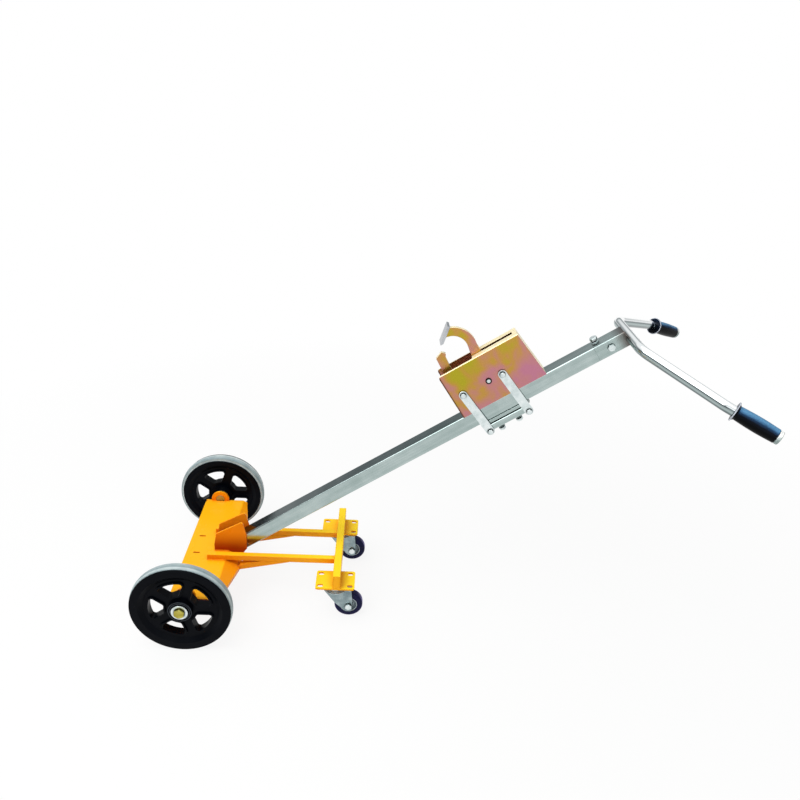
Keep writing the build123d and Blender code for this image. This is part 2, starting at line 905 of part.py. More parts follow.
with BuildPart() as lower_jaw:
    jaw_back = lower_jaw_front + lower_jaw_width
    with BuildSketch(head_plane(0)) as face:
        Polygon(
            (lower_jaw_front, head_floor),
            (lower_jaw_front, head_height),
            (lower_jaw_front + lower_jaw_lean, lower_jaw_height - lower_jaw_nose),
            (jaw_back, lower_jaw_height),
            (jaw_back + lower_jaw_nose, lower_jaw_height - lower_jaw_nose),
            (jaw_back + lower_jaw_lean, lower_jaw_height - 2 * lower_jaw_nose),
            (jaw_back, head_height),
            (jaw_back, link_height + lower_jaw_width),
            (lower_jaw_foot, head_floor + lower_jaw_width),
            (lower_jaw_foot, head_floor),
            align=None,
        )
        fillet(face.vertices().group_by(Axis.Y)[-3:], jaw_edge)
        with Locations((link_place, link_height)):
            Circle(link_bolt_radius, mode=Mode.SUBTRACT)
    extrude(amount=jaw_thickness / 2, both=True)
save(lower_jaw, "lower_jaw")

# Hook: curved arm on a pin, with a tail that meets a stop when it is shut
hook_outer_radius = hook_inner_radius + hook_arm
hook_centre_height = lower_jaw_height - hook_drop
tail_back = jaw_pin_place + hook_tail_width / 2
tooth_cos = cos(radians(tooth_angle))
tooth_sin = sin(radians(tooth_angle))
root_cos = cos(radians(hook_root_angle))
root_sin = sin(radians(hook_root_angle))


def tooth_plane(y):
    """Plane of the tooth: local x runs back from its point along its upper face."""
    point = (hook_centre_place - tooth_lead, hook_centre_height + tooth_rise)
    return on_plane(head_plane(y), *point, (0, 0, tooth_angle))


with BuildPart() as upper_jaw:
    with BuildSketch(head_plane(0)):
        with Locations((hook_centre_place, hook_centre_height)):
            Circle(hook_outer_radius)
            Circle(hook_inner_radius, mode=Mode.SUBTRACT)
        root_in = (
            hook_centre_place + hook_inner_radius * root_cos,
            hook_centre_height + hook_inner_radius * root_sin,
        )
        root_out = (
            hook_centre_place + hook_outer_radius * root_cos,
            hook_centre_height + hook_outer_radius * root_sin,
        )
        with Locations((hook_centre_place, hook_centre_height)):
            Rectangle(
                2 * hook_outer_radius,
                2 * hook_outer_radius,
                rotation=hook_root_angle,
                align=(Align.CENTER, Align.MAX),
                mode=Mode.SUBTRACT,
            )
        Polygon(
            root_in,
            root_out,
            (jaw_pin_place + hook_hub_radius, jaw_pin_height),
            (jaw_pin_place - hook_hub_radius, jaw_pin_height),
            align=None,
        )
        with Locations((jaw_pin_place, jaw_pin_height)):
            Circle(hook_hub_radius)
            Rectangle(hook_tail_width, hook_tail, align=(Align.CENTER, Align.MAX))
            Circle(jaw_pin_radius + running_fit, mode=Mode.SUBTRACT)
    extrude(amount=jaw_thickness / 2, both=True)
    with BuildSketch(tooth_plane(0)):
        with Locations((0, -tooth_thickness)):
            Rectangle(4 * hook_outer_radius, 2 * hook_outer_radius, align=(Align.CENTER, Align.MIN))
    extrude(amount=jaw_thickness, both=True, mode=Mode.SUBTRACT)
save(upper_jaw, "upper_jaw")

with BuildPart() as jaw_tooth:
    with BuildSketch(tooth_plane(0)):
        Polygon(
            (0, 0),
            (tooth_length, 0),
            (tooth_length, -tooth_thickness),
            (tooth_bevel, -tooth_thickness),
            (0, -tooth_thickness / 3),
            align=None,
        )
    extrude(amount=tooth_width / 2, both=True)
save(jaw_tooth, "jaw_tooth")

with BuildPart() as jaw_pin:
    with BuildSketch(head_plane(0)):
        with Locations((jaw_pin_place, jaw_pin_height)):
            Circle(jaw_pin_radius)
    extrude(amount=head_half + jaw_pin_stand, both=True)
    chamfer(jaw_pin.edges().filter_by(GeomType.CIRCLE), jaw_pin_stand / 2)
save(jaw_pin, "jaw_pin")

with BuildPart() as jaw_spacers:
    for name, side in sides:
        with BuildSketch(head_plane(side * (head_half - head_sheet))):
            with Locations((jaw_pin_place, jaw_pin_height)):
                Circle(jaw_spacer_radius)
                Circle(jaw_pin_radius, mode=Mode.SUBTRACT)
        extrude(amount=side * (head_half - head_sheet - jaw_thickness / 2 - side_gap))
save(jaw_spacers, "jaw_spacers")

with BuildPart() as jaw_stop:
    with BuildSketch(head_plane(0)):
        with Locations((tail_back + side_gap, head_floor)):
            Rectangle(stop_length, stop_height, align=(Align.MIN, Align.MIN))
    extrude(amount=stop_width / 2, both=True)
save(jaw_stop, "jaw_stop")

# Links, clamp bar and brake shoe
link_in = head_half + side_gap
link_out = link_in + link_thickness
shoe_top = -mast_size - side_gap
bar_top = shoe_top - shoe_thickness - shoe_boss
clamp_pivot = bar_top - clamp_pivot_drop
link_length = (link_height - clamp_pivot) / cos(radians(link_lean))
link_shift = link_length * sin(radians(link_lean))
link_tops = (("front", link_place), ("rear", link_place + link_pitch))

for name, side in sides:
    for end, place in link_tops:
        hang = on_plane(head_plane(side * link_in), place, link_height, (0, 0, link_lean - 90))
        with BuildPart() as link:
            with BuildSketch(hang):
                with Locations((link_length / 2, 0)):
                    SlotCenterToCenter(link_length, link_width)
                with Locations((0, 0), (link_length, 0)):
                    Circle(link_bolt_radius + running_fit, mode=Mode.SUBTRACT)
            extrude(amount=-side * link_thickness)
        save(link, f"{name}_{end}_link")


def pivot_bolts(height, shift):
    """A bolt with its nut at both links, across the head."""
    for end, place in link_tops:
        middle = on_plane(head_plane(0), place + shift, height, (0, 0, 0))
        near = middle.offset(link_out + side_gap)
        far = middle.offset(-link_out - side_gap)
        hexagon(near, link_bolt_flats, link_bolt_head)
        disc(near, link_bolt_radius, -2 * (link_out + side_gap))
        hexagon(far, link_bolt_flats, -link_bolt_head)


with BuildPart() as link_bolts:
    pivot_bolts(link_height, 0)
save(link_bolts, "link_bolts")

with BuildPart() as clamp_bolts:
    pivot_bolts(clamp_pivot, link_shift)
save(clamp_bolts, "clamp_bolts")

shoe_bolts_at = (shoe_bolt_first, shoe_bolt_first + shoe_bolt_pitch)
clamp_middle = link_place + link_shift + link_pitch / 2
clamp_pivots = [(place + link_shift, clamp_pivot) for end, place in link_tops]

with BuildPart() as clamp_bar:
    with BuildSketch(head_plane(0)):
        with Locations((clamp_middle, bar_top)):
            Rectangle(link_pitch + 2 * clamp_ear, clamp_pivot_drop, align=(Align.CENTER, Align.MAX))
            Rectangle(link_pitch, clamp_height, align=(Align.CENTER, Align.MAX))
        with Locations(*clamp_pivots):
            Circle(clamp_ear)
    extrude(amount=head_half, both=True)
    long_edges = clamp_bar.edges().filter_by(Axis(head_plane(0).origin, head_plane(0).x_dir))
    fillet(long_edges.sort_by(Axis(head_plane(0).origin, head_plane(0).y_dir))[-2:], clamp_corner)
    with BuildSketch(head_plane(0)):
        with Locations((clamp_middle, bar_top - clamp_wall)):
            Rectangle(link_pitch + 4 * clamp_ear, mast_size, align=(Align.CENTER, Align.MAX))
    extrude(amount=head_half - clamp_wall, both=True, mode=Mode.SUBTRACT)
    with BuildSketch(head_plane(0)):
        with Locations(*clamp_pivots):
            Circle(link_bolt_radius)
    extrude(amount=head_width, both=True, mode=Mode.SUBTRACT)
    for place in shoe_bolts_at:
        hole = on_plane(head_plane(0), place, bar_top, (-90, 0, 0))
        bore(hole, shoe_bolt_radius, clamp_height)
save(clamp_bar, "clamp_bar")

with BuildPart() as brake_shoe:
    with BuildSketch(head_plane(0)) as face:
        with Locations((clamp_middle, shoe_top)):
            Rectangle(shoe_length, shoe_thickness, align=(Align.CENTER, Align.MAX))
        chamfer(face.vertices(), shoe_chamfer)
    extrude(amount=mast_half + shoe_lip, both=True)
    for place in shoe_bolts_at:
        foot = on_plane(head_plane(0), place, shoe_top - shoe_thickness, (-90, 0, 0))
        disc(foot, shoe_boss_radius, -shoe_boss)
        bore(foot, shoe_bolt_radius, shoe_thickness - shoe_chamfer)
save(brake_shoe, "brake_shoe")

with BuildPart() as shoe_bolts:
    for place in shoe_bolts_at:
        web = on_plane(head_plane(0), place, bar_top - clamp_wall, (-90, 0, 0))
        low = on_plane(head_plane(0), place, bar_top - shoe_bolt_drop, (-90, 0, 0))
        hexagon(web, shoe_bolt_flats, -shoe_bolt_nut)
        hexagon(low, shoe_bolt_flats, -shoe_bolt_head)
        disc(low, shoe_bolt_radius, shoe_bolt_drop + shoe_boss + shoe_thickness - shoe_chamfer)
save(shoe_bolts, "shoe_bolts")
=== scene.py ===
# %% [markdown]
# # Dressing a drum trolley
# The trolley is a welded steel frame on two large wheels and two casters, with a sliding gripping head
# and a bent handle. Its true sizes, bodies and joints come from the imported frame, so this lesson only
# adds what the eye needs: rounded edges, finishes, fasteners, welds, light and a camera.

# %% Load the frame
import json
from math import atan2, cos, degrees, pi, radians, sin, sqrt, tan, tau

import bmesh
import bpy
from mathutils import Matrix, Vector


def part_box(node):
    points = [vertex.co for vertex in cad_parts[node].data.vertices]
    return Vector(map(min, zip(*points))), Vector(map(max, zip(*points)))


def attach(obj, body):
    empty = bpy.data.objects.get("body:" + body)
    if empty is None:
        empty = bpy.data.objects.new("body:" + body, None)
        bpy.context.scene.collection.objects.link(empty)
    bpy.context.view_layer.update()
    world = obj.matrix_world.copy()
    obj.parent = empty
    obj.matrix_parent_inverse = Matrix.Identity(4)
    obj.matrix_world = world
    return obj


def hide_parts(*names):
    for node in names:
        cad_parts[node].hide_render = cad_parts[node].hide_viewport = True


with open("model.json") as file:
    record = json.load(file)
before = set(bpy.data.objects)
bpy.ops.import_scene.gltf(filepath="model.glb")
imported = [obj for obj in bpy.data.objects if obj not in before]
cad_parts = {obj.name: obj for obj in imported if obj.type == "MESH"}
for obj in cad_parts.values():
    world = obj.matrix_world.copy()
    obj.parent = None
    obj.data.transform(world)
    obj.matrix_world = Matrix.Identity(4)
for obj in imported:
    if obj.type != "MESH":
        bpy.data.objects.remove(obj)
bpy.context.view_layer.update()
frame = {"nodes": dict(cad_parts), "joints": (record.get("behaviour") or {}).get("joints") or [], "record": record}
record = frame["record"]
scene = bpy.context.scene
MM = 0.001
body_of = {node: body for body, nodes in record["behaviour"]["bodies"].items() for node in nodes}
slot_of = {row["node"]: row["material_slot"] for row in record["subparts"]}
joint_of = {joint["name"]: joint for joint in frame["joints"]}
sides = (("left", -1), ("right", 1))

# %% [markdown]
# The mast leans at one steady angle, and the head slides along it. The direction of that slide, and the
# pivots of the hook and the links, are in the record, so every place on the head is worked out from them.
# Places on the base are measured back from the axle of the large wheels.

# %% Places on the trolley
wheel_low, wheel_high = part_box("left_wheel_tread")
axle = (wheel_low + wheel_high) / 2
wheel_radius = (wheel_high.z - wheel_low.z) / 2 / MM
base_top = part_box("base_plate")[1].z / MM
mast_dir = Vector(joint_of["head_slide"]["axis"])
mast_angle = atan2(mast_dir.z, mast_dir.x)
mast_up = Vector((-mast_dir.z, 0, mast_dir.x))
across = Vector((0, 1, 0))
skyward = Vector((0, 0, 1))
link_pivot = Vector(joint_of["front_link_hinge"]["pos_m"])
link_place = 30
link_height = 58.5
head_origin = link_pivot - MM * (link_place * mast_dir + link_height * mast_up)


def on_head(place, height, y=0.0):
    """Point in the gripping head's own measure: along the mast, up from its top face, and across."""
    return head_origin + MM * (place * mast_dir + height * mast_up + y * across)


def from_axle(x, y, z):
    """Point measured back from the large wheels' axle, across and up from the floor."""
    return Vector((axle.x + x * MM, y * MM, z * MM))


print("mast leans", round(degrees(mast_angle), 2), "degrees; axle at x", round(axle.x, 4))

# %% [markdown]
# The camera stands in front of the operator's left side and looks down on the trolley. A camera that is
# aimed by yaw, pitch and roll is easier to match to a picture than one that tracks a target, because each
# of the three angles moves the image in its own way.

# %% Camera
image_size = 800
focal_px = 735.6
sensor_mm = 36
camera_from_axle = Vector((0.4395, -1.6587, 1.3880))
camera_yaw = 0.044
camera_pitch = 0.450
camera_roll = 0.062

forward = Vector(
    (sin(camera_yaw) * cos(camera_pitch), cos(camera_yaw) * cos(camera_pitch), -sin(camera_pitch))
)
level = Vector((cos(camera_yaw), -sin(camera_yaw), 0))
above = level.cross(forward)
right = cos(camera_roll) * level + sin(camera_roll) * above
upward = cos(camera_roll) * above - sin(camera_roll) * level

camera_data = bpy.data.cameras.new("studio_camera")
camera_data.sensor_width = sensor_mm
camera_data.lens = sensor_mm * focal_px / image_size
camera = bpy.data.objects.new("studio_camera", camera_data)
camera.matrix_world = Matrix((right, upward, -forward)).transposed().to_4x4()
camera.location = Vector((axle.x, 0, 0)) + camera_from_axle
scene.collection.objects.link(camera)
scene.camera = camera
print("lens", round(camera_data.lens, 2), "mm")

# %% [markdown]
# Colours are written as the hex values that a paint chart or a picture gives. Shaders work in linear
# light, so one function turns them. One more function adds a node: a single dictionary holds its settings
# and what feeds it, which keeps each material and each Geometry Nodes tree short. A Mix node has sockets
# for several types: its two colours are sockets 6 and 7, and the mixed colour is output 2.

# %% Colour and node helpers
def linear(hex_colour):
    """Linear RGBA of a colour that is written as sRGB hex."""
    channels = [int(hex_colour[i : i + 2], 16) / 255 for i in (1, 3, 5)]
    return [c / 12.92 if c <= 0.04045 else ((c + 0.055) / 1.055) ** 2.4 for c in channels] + [1.0]


def add_node(tree, kind, values=None):
    """Add a node, of the shader kind where no other is named. A value is a property, a ramp's stops, what
    a socket holds (a hex colour is made linear), or what feeds a socket: an output, or a node for its
    first output, or a list of them."""
    node = tree.nodes.new(kind if "Node" in kind else f"ShaderNode{kind}")
    for name, value in (values or {}).items():
        items = value if isinstance(value, list) else [value]
        sources = [item.outputs[0] if isinstance(item, bpy.types.Node) else item for item in items]
        if name == "stops":
            ramp = node.color_ramp.elements
            while len(ramp) < len(value):
                ramp.new(1.0)
            for element, (position, colour) in zip(ramp, value):
                element.position = position
                element.color = linear(colour)
        elif isinstance(sources[0], bpy.types.NodeSocket):
            for source in sources:
                tree.links.new(source, node.inputs[name])
        elif isinstance(name, str) and hasattr(node, name):
            setattr(node, name, value)
        else:
            is_colour = isinstance(value, str) and value.startswith("#")
            node.inputs[name].default_value = linear(value) if is_colour else value
    return node


def new_material(name):
    """An empty material, its node tree and the piece's own coordinates."""
    material = bpy.data.materials.new(name)
    material.use_nodes = True
    tree = material.node_tree
    tree.nodes.clear()
    return material, tree, add_node(tree, "TexCoord").outputs["Object"]


def facing(tree, direction):
    """How far a face looks in a direction: 1 straight towards it, -1 straight away."""
    normal = add_node(tree, "TexCoord").outputs["Normal"]
    both = {"operation": "DOT_PRODUCT", 0: normal, 1: direction}
    return add_node(tree, "VectorMath", both).outputs["Value"]


def finish_material(material, values):
    """End a material in one Principled shader."""
    surface = add_node(material.node_tree, "BsdfPrincipled", values)
    add_node(material.node_tree, "OutputMaterial", {"Surface": surface})
    return material


def per_mm(size):
    """Texture scale for a pattern whose features are this many millimetres across."""
    return 1 / (size * MM)


finish_of = {}
own_finish = {}
print("a mid grey of #808080 is", round(linear("#808080")[0], 3), "in linear light")

# %% [markdown]
# The frame is powder coated: a polyester powder that melts to a thick, glossy, slightly wavy skin. The waviness,
# called orange peel, is a soft bump a few millimetres across. Light and shade are painted into its colour: faces
# that look up are painted a lit golden, upright faces a shaded deeper orange, and inner corners a redder painted
# shade, as where light bounces between two yellow walls. The rear of the frame is a paler lemon yellow than the
# front, and its upward faces are painted lighter still. The cheeks at the mast's foot have painted shade, redder
# towards the base. Tone follows the piece's own normal and its place on the frame, and occlusion finds the
# corners.

# %% Powder coat
redder_below = base_top + 8
plain_above = base_top + 62
rear_tone_from = 150
rear_tone_to = 410
corner_reach = 40


def powder_coat(name, low_tone, high_tone):
    """Powder coat with light and shade painted in: upright faces go from a low tone to a high one above the base,
    faces that look up are painted lighter, and inner corners are painted in shade.
    """
    material, tree, coords = new_material(name)
    place = add_node(tree, "SeparateXYZ", {"Vector": coords}).outputs
    patches = add_node(
        tree, "TexNoise", {"Scale": per_mm(90), "Detail": 4.0, "Roughness": 0.6, "Vector": coords}
    )
    uneven = add_node(tree, "MapRange", {"To Min": -0.06, "To Max": 0.06, "Value": patches})
    rise = add_node(tree, "Math", {"operation": "ADD", 0: facing(tree, skyward), 1: uneven})
    height = add_node(
        tree, "MapRange", {"From Min": redder_below * MM, "From Max": plain_above * MM, "Value": place["Z"]}
    )
    upright = add_node(tree, "Mix", {"data_type": "RGBA", 0: height, 6: low_tone, 7: high_tone}).outputs[2]
    # Painted light: faces that look up get a lit golden tone, upright faces a shaded deeper orange.
    flat = add_node(
        tree, "ValToRGB", {"stops": [(0.6, "#F0900A"), (0.88, "#F4980C"), (0.97, "#FEB414")], "Fac": rise}
    )
    level_share = add_node(tree, "MapRange", {"From Min": 0.2, "From Max": 0.6, "Value": rise})
    front_tone = add_node(tree, "Mix", {"data_type": "RGBA", 0: level_share, 6: upright, 7: flat}).outputs[2]
    # The rear tone is paler towards the rear, and painted lighter still on faces that look up.
    rear_tone = add_node(
        tree, "ValToRGB", {"stops": [(0.0, "#F8AE12"), (0.6, "#FABA16"), (0.97, "#FFDC24")], "Fac": rise}
    )
    rear = add_node(
        tree, "MapRange",
        {"From Min": axle.x + rear_tone_from * MM, "From Max": axle.x + rear_tone_to * MM, "Value": place["X"]},
    )
    tone = add_node(tree, "Mix", {"data_type": "RGBA", 0: rear, 6: front_tone, 7: rear_tone}).outputs[2]
    # Painted shade: inner corners, found by occlusion, are darkened towards red.
    corner = add_node(tree, "AmbientOcclusion", {"samples": 8, "Distance": corner_reach * MM}).outputs["AO"]
    shade = add_node(
        tree, "ValToRGB", {"stops": [(0.12, "#A8380A"), (0.45, "#E88A40"), (0.8, "#FFFFFF")], "Fac": corner}
    )
    colour = add_node(
        tree, "Mix", {"data_type": "RGBA", "blend_type": "MULTIPLY", "Factor": 0.6, 6: tone, 7: shade}
    ).outputs[2]
    peel = add_node(tree, "TexNoise", {"Scale": per_mm(3.5), "Detail": 1.5, "Vector": coords})
    bump = add_node(tree, "Bump", {"Strength": 0.1, "Distance": 0.3 * MM, "Height": peel})
    gloss = add_node(tree, "MapRange", {"To Min": 0.2, "To Max": 0.34, "Value": patches})
    coat = {"IOR": 1.5, "Specular IOR Level": 0.12}
    return finish_material(material, {**coat, "Base Color": colour, "Roughness": gloss, "Normal": bump})


finish_of["yellow_paint"] = powder_coat("yellow_powder_coat", "#EE8E0A", "#F0900A")
# The cheeks get painted shade: dark red-orange low down, brightening upward.
own_finish["cheek"] = powder_coat("cheek_powder_coat_painted_shade", "#AE4606", "#EC8410")
print("made", finish_of["yellow_paint"].name, "and", own_finish["cheek"].name)

# %% [markdown]
# The mast is drawn square tube with bright zinc. Drawing leaves long faint streaks along the tube, so the noise is
# stretched in the mast's own direction: a Mapping node turns the pattern with the mast, and a small scale along it
# makes each streak hundreds of millimetres long. The gloss is nearly even, so that the yellow frame shows cleanly
# in the tube's foot, where the zinc's colour is darker. The upper face is darkened, most of all towards the foot,
# partly as scuffing and partly as painted shade and reflection of a leaning load. Welding has stained the zinc
# brown at the handle.

# %% Zinc on drawn tube
on_mast = {"vector_type": "TEXTURE", "Location": head_origin, "Rotation": (0, -mast_angle, 0)}
saddle_place = 446
stain_from = saddle_place - 22
stain_to = saddle_place + 6
stain_wander = 30
dark_foot_from = -660
dark_foot_to = -860
scuff_and_shade_low = -760
scuff_and_shade_high = 240


def drawn_zinc(name, roughness):
    """Streaked zinc, darker towards the mast's foot, stained at its end, with scuffing and painted shade on its
    upper face.
    """
    material, tree, coords = new_material(name)
    along = add_node(tree, "Mapping", {**on_mast, "Vector": coords})
    stretched = add_node(tree, "Mapping", {"Scale": (0.03, 1, 1), "Vector": along})
    streaks = add_node(tree, "TexNoise", {"Scale": per_mm(7), "Detail": 3.0, "Vector": stretched})
    clouds = add_node(
        tree, "TexNoise", {"Scale": per_mm(70), "Detail": 5.0, "Roughness": 0.62, "Vector": coords}
    )
    both = add_node(tree, "Mix", {"data_type": "FLOAT", "Factor": 0.6, 2: streaks, 3: clouds})
    colour = add_node(
        tree, "ValToRGB", {"stops": [(0.34, "#9AABA8"), (0.5, "#ABBAB8"), (0.66, "#BBC8C6")], "Fac": both}
    )
    place = add_node(tree, "SeparateXYZ", {"Vector": along}).outputs["X"]
    # The zinc's colour is darker towards the mast's foot.
    foot = add_node(
        tree, "MapRange",
        {"From Min": dark_foot_from * MM, "From Max": dark_foot_to * MM, "To Max": 0.55, "Value": place},
    )
    wander = add_node(tree, "Math", {"operation": "MULTIPLY_ADD", 0: clouds, 1: stain_wander * MM, 2: place})
    heat = add_node(
        tree, "MapRange",
        {"From Min": stain_from * MM, "From Max": stain_to * MM, "To Max": 0.85, "Value": wander},
    )
    # Scuffing together with painted shade and reflection of a leaning load darkens the upper face, most towards
    # the foot.
    upper_face = add_node(
        tree, "MapRange", {"From Min": 0.7, "From Max": 0.9, "Value": facing(tree, mast_up)}
    )
    scuff_and_shade_along = add_node(
        tree, "MapRange",
        {
            "From Min": scuff_and_shade_low * MM, "From Max": scuff_and_shade_high * MM, "To Min": 0.8, "To Max": 0.3,
            "Value": place,
        },
    )
    scuff_and_shade = add_node(tree, "Math", {"operation": "MULTIPLY", 0: upper_face, 1: scuff_and_shade_along})
    for share, over in ((foot, "#7F908F"), (heat, "#54403A"), (scuff_and_shade, "#34393F")):
        colour = add_node(tree, "Mix", {"data_type": "RGBA", 0: share, 6: colour, 7: over}).outputs[2]
    gloss = add_node(
        tree, "MapRange",
        {
            "From Min": 0.35, "From Max": 0.65, "To Min": roughness - 0.03, "To Max": roughness + 0.04,
            "Value": both,
        },
    )
    return finish_material(material, {"Metallic": 1.0, "Base Color": colour, "Roughness": gloss})


finish_of["zinc_tube"] = drawn_zinc("zinc_on_drawn_tube", roughness=0.16)
own_finish["handle_stub"] = drawn_zinc("satin_zinc_on_drawn_tube", roughness=0.42)
print("made", finish_of["zinc_tube"].name, "and", own_finish["handle_stub"].name)

# %% [markdown]
# The handlebar is chrome plated. Chrome is nearly a mirror, so it shows the room more than itself. A reflection is
# painted into the colour as well, following the normal: a bright band on top, a dark band below it and grey on the
# underside. A faint haze in the roughness keeps the plate from looking like liquid.

# %% Chrome plate
painted_reflection_stops = [
    (0.08, "#4C5658"), (0.3, "#6E7A7B"), (0.46, "#AEBBBA"), (0.6, "#8E9B9B"), (0.68, "#4A5457"),
    (0.75, "#D0D5D6"), (0.84, "#F6F8F8"),
]


def chrome_plate():
    """Hazy chrome with a reflection painted into its colour by the normal."""
    material, tree, coords = new_material("chrome_plate")
    haze = add_node(tree, "TexNoise", {"Scale": per_mm(25), "Detail": 4.0, "Vector": coords})
    gloss = add_node(tree, "MapRange", {"To Min": 0.05, "To Max": 0.13, "Value": haze})
    # Painted reflection: the colour follows how far the face looks up, with a dark band between a bright top and a
    # grey underside.
    painted_reflection_height = add_node(tree, "MapRange", {"From Min": -1.0, "From Max": 1.0, "Value": facing(tree, skyward)})
    wander = add_node(tree, "Math", {"operation": "MULTIPLY_ADD", 0: haze, 1: 0.06, 2: painted_reflection_height})
    colour = add_node(tree, "ValToRGB", {"stops": painted_reflection_stops, "Fac": wander})
    return finish_material(material, {"Metallic": 1.0, "Base Color": colour, "Roughness": gloss})


finish_of["chrome_tube"] = chrome_plate()
print("made", finish_of["chrome_tube"].name)

# %% [markdown]
# The head is yellow passivated zinc. The thin film on the zinc splits light as oil does, so the plate wanders from
# olive through gold and salmon to pink and mauve. A slow noise picks the place in that rainbow, a second one is
# drawn out in the way the bath drained off the plate, and a slope across the plate makes the front of the head
# greener and its rear pinker. The jaws are pinker than the plate they rise from. Light and shade are painted in as
# well: faces that look up are painted a pale lit cream and made less metallic, faces that look forward down the
# mast and a thin band on the plate's front lip are painted dark as shade, and the inside of the housing is painted
# a dark red-brown shade that occlusion finds, also less metallic.

# %% Yellow zinc
film_seed = 14.7
film_stops = [
    (0.12, "#AEA22C"), (0.28, "#B69A38"), (0.4, "#BE904A"), (0.5, "#BE8868"), (0.62, "#BE827C"),
    (0.84, "#BC7A8E"),
]
housing_length = 217
housing_height = 130
jaw_root = (131, 137)
jaw_crest = (152, 190)
front_lip = (4.5, 1.5)
plate_inside = 20
inside_reach = 80


def yellow_zinc():
    """Rainbow film on the zinc of the head."""
    material, tree, coords = new_material("yellow_passivated_zinc")
    own = add_node(tree, "Mapping", {**on_mast, "Vector": coords})
    axes = add_node(tree, "SeparateXYZ", {"Vector": own}).outputs
    film_noise = {"noise_dimensions": "4D", "W": film_seed}
    cloud = add_node(
        tree, "TexNoise",
        {**film_noise, "Scale": per_mm(66), "Detail": 2.2, "Distortion": 0.4, "Vector": own},
    )
    drained = add_node(tree, "Mapping", {"Scale": (1, 1, 0.35), "Vector": own})
    runs = add_node(tree, "TexNoise", {**film_noise, "Scale": per_mm(22), "Detail": 2.0, "Vector": drained})
    causes = (
        (cloud, (0, 1), (-0.2, 1.34)),
        (runs, (0, 1), (-0.25, 0.25)),
        (axes["X"], (0, housing_length * MM), (-0.1, 0.1)),
        (axes["Z"], (0, housing_height * MM), (0.1, -0.12)),
        (axes["Z"], [height * MM for height in jaw_root], (0, 0.22)),
        (axes["Z"], [height * MM for height in jaw_crest], (0, -0.26)),
    )
    place = 0.0
    for value, (low, high), (first, last) in causes:
        limits = {"From Min": low, "From Max": high, "To Min": first, "To Max": last, "Value": value}
        share = add_node(tree, "MapRange", limits)
        place = add_node(tree, "Math", {"operation": "ADD", 0: place, 1: share})
    colour = add_node(tree, "ValToRGB", {"stops": film_stops, "Fac": place})
    # Painted light: faces that look up are painted a pale cream; they are also made less metallic.
    up = add_node(tree, "MapRange", {"From Min": 0.2, "From Max": 0.6, "Value": facing(tree, skyward)})
    # Painted shade: faces that look forward down the mast, and a thin band on the plate's front lip, are painted
    # dark.
    forward_shade = add_node(
        tree, "MapRange",
        {"From Min": 0.6, "From Max": 0.9, "To Max": 0.85, "Value": facing(tree, -mast_dir)},
    )
    front = add_node(
        tree, "MapRange",
        {"From Min": front_lip[0] * MM, "From Max": front_lip[1] * MM, "To Max": 0.85, "Value": axes["X"]},
    )
    out = add_node(tree, "Math", {"operation": "ABSOLUTE", 0: axes["Y"]})
    plate = add_node(tree, "Math", {"operation": "GREATER_THAN", 0: out, 1: plate_inside * MM})
    lip = add_node(tree, "Math", {"operation": "MULTIPLY", 0: front, 1: plate})
    painted_edge_shade = add_node(tree, "Math", {"operation": "MAXIMUM", 0: forward_shade, 1: lip})
    # Painted shade: the inside of the housing, found by occlusion, is painted dark red-brown and made less
    # metallic.
    inside = add_node(tree, "AmbientOcclusion", {"samples": 8, "Distance": inside_reach * MM}).outputs["AO"]
    painted_inside_shade = add_node(tree, "MapRange", {"From Min": 0.55, "From Max": 0.25, "Value": inside})
    for share, over in ((up, "#F4E6BC"), (painted_edge_shade, "#3E2412"), (painted_inside_shade, "#A4553A")):
        colour = add_node(tree, "Mix", {"data_type": "RGBA", 0: share, 6: colour, 7: over}).outputs[2]
    dull = add_node(tree, "Math", {"operation": "MAXIMUM", 0: up, 1: painted_inside_shade})
    metal = add_node(tree, "MapRange", {"To Min": 1.0, "To Max": 0.3, "Value": dull})
    grain = add_node(tree, "TexNoise", {"Scale": per_mm(4), "Detail": 3.0, "Vector": coords})
    gloss = add_node(tree, "MapRange", {"To Min": 0.28, "To Max": 0.42, "Value": grain})
    return finish_material(material, {"Base Color": colour, "Metallic": metal, "Roughness": gloss})


finish_of["yellow_zinc"] = yellow_zinc()
print("made", finish_of["yellow_zinc"].name)

# %% [markdown]
# Links and fasteners are bright zinc: paler and bluer than the tube, with the fine crystal clouds that a plating
# bath leaves. The caster forks are a greyer zinc, and the hub bolts a golden one. The colour darkens where another
# face is only a few millimetres away, partly oil and dirt in the thin gaps round a bolt head and partly painted
# contact shade. Above a given height the plate is painted pale and less metallic: a painted highlight on the
# casters' swivel rings and on the top of the fork crowns. Spring rings are black with phosphate, and the tooth is
# ground steel. A finish without that highlight has its height where no piece reaches.

# %% Bright zinc and steel
gap_reach = 5
highlight_blend = 2
no_highlight = 2000


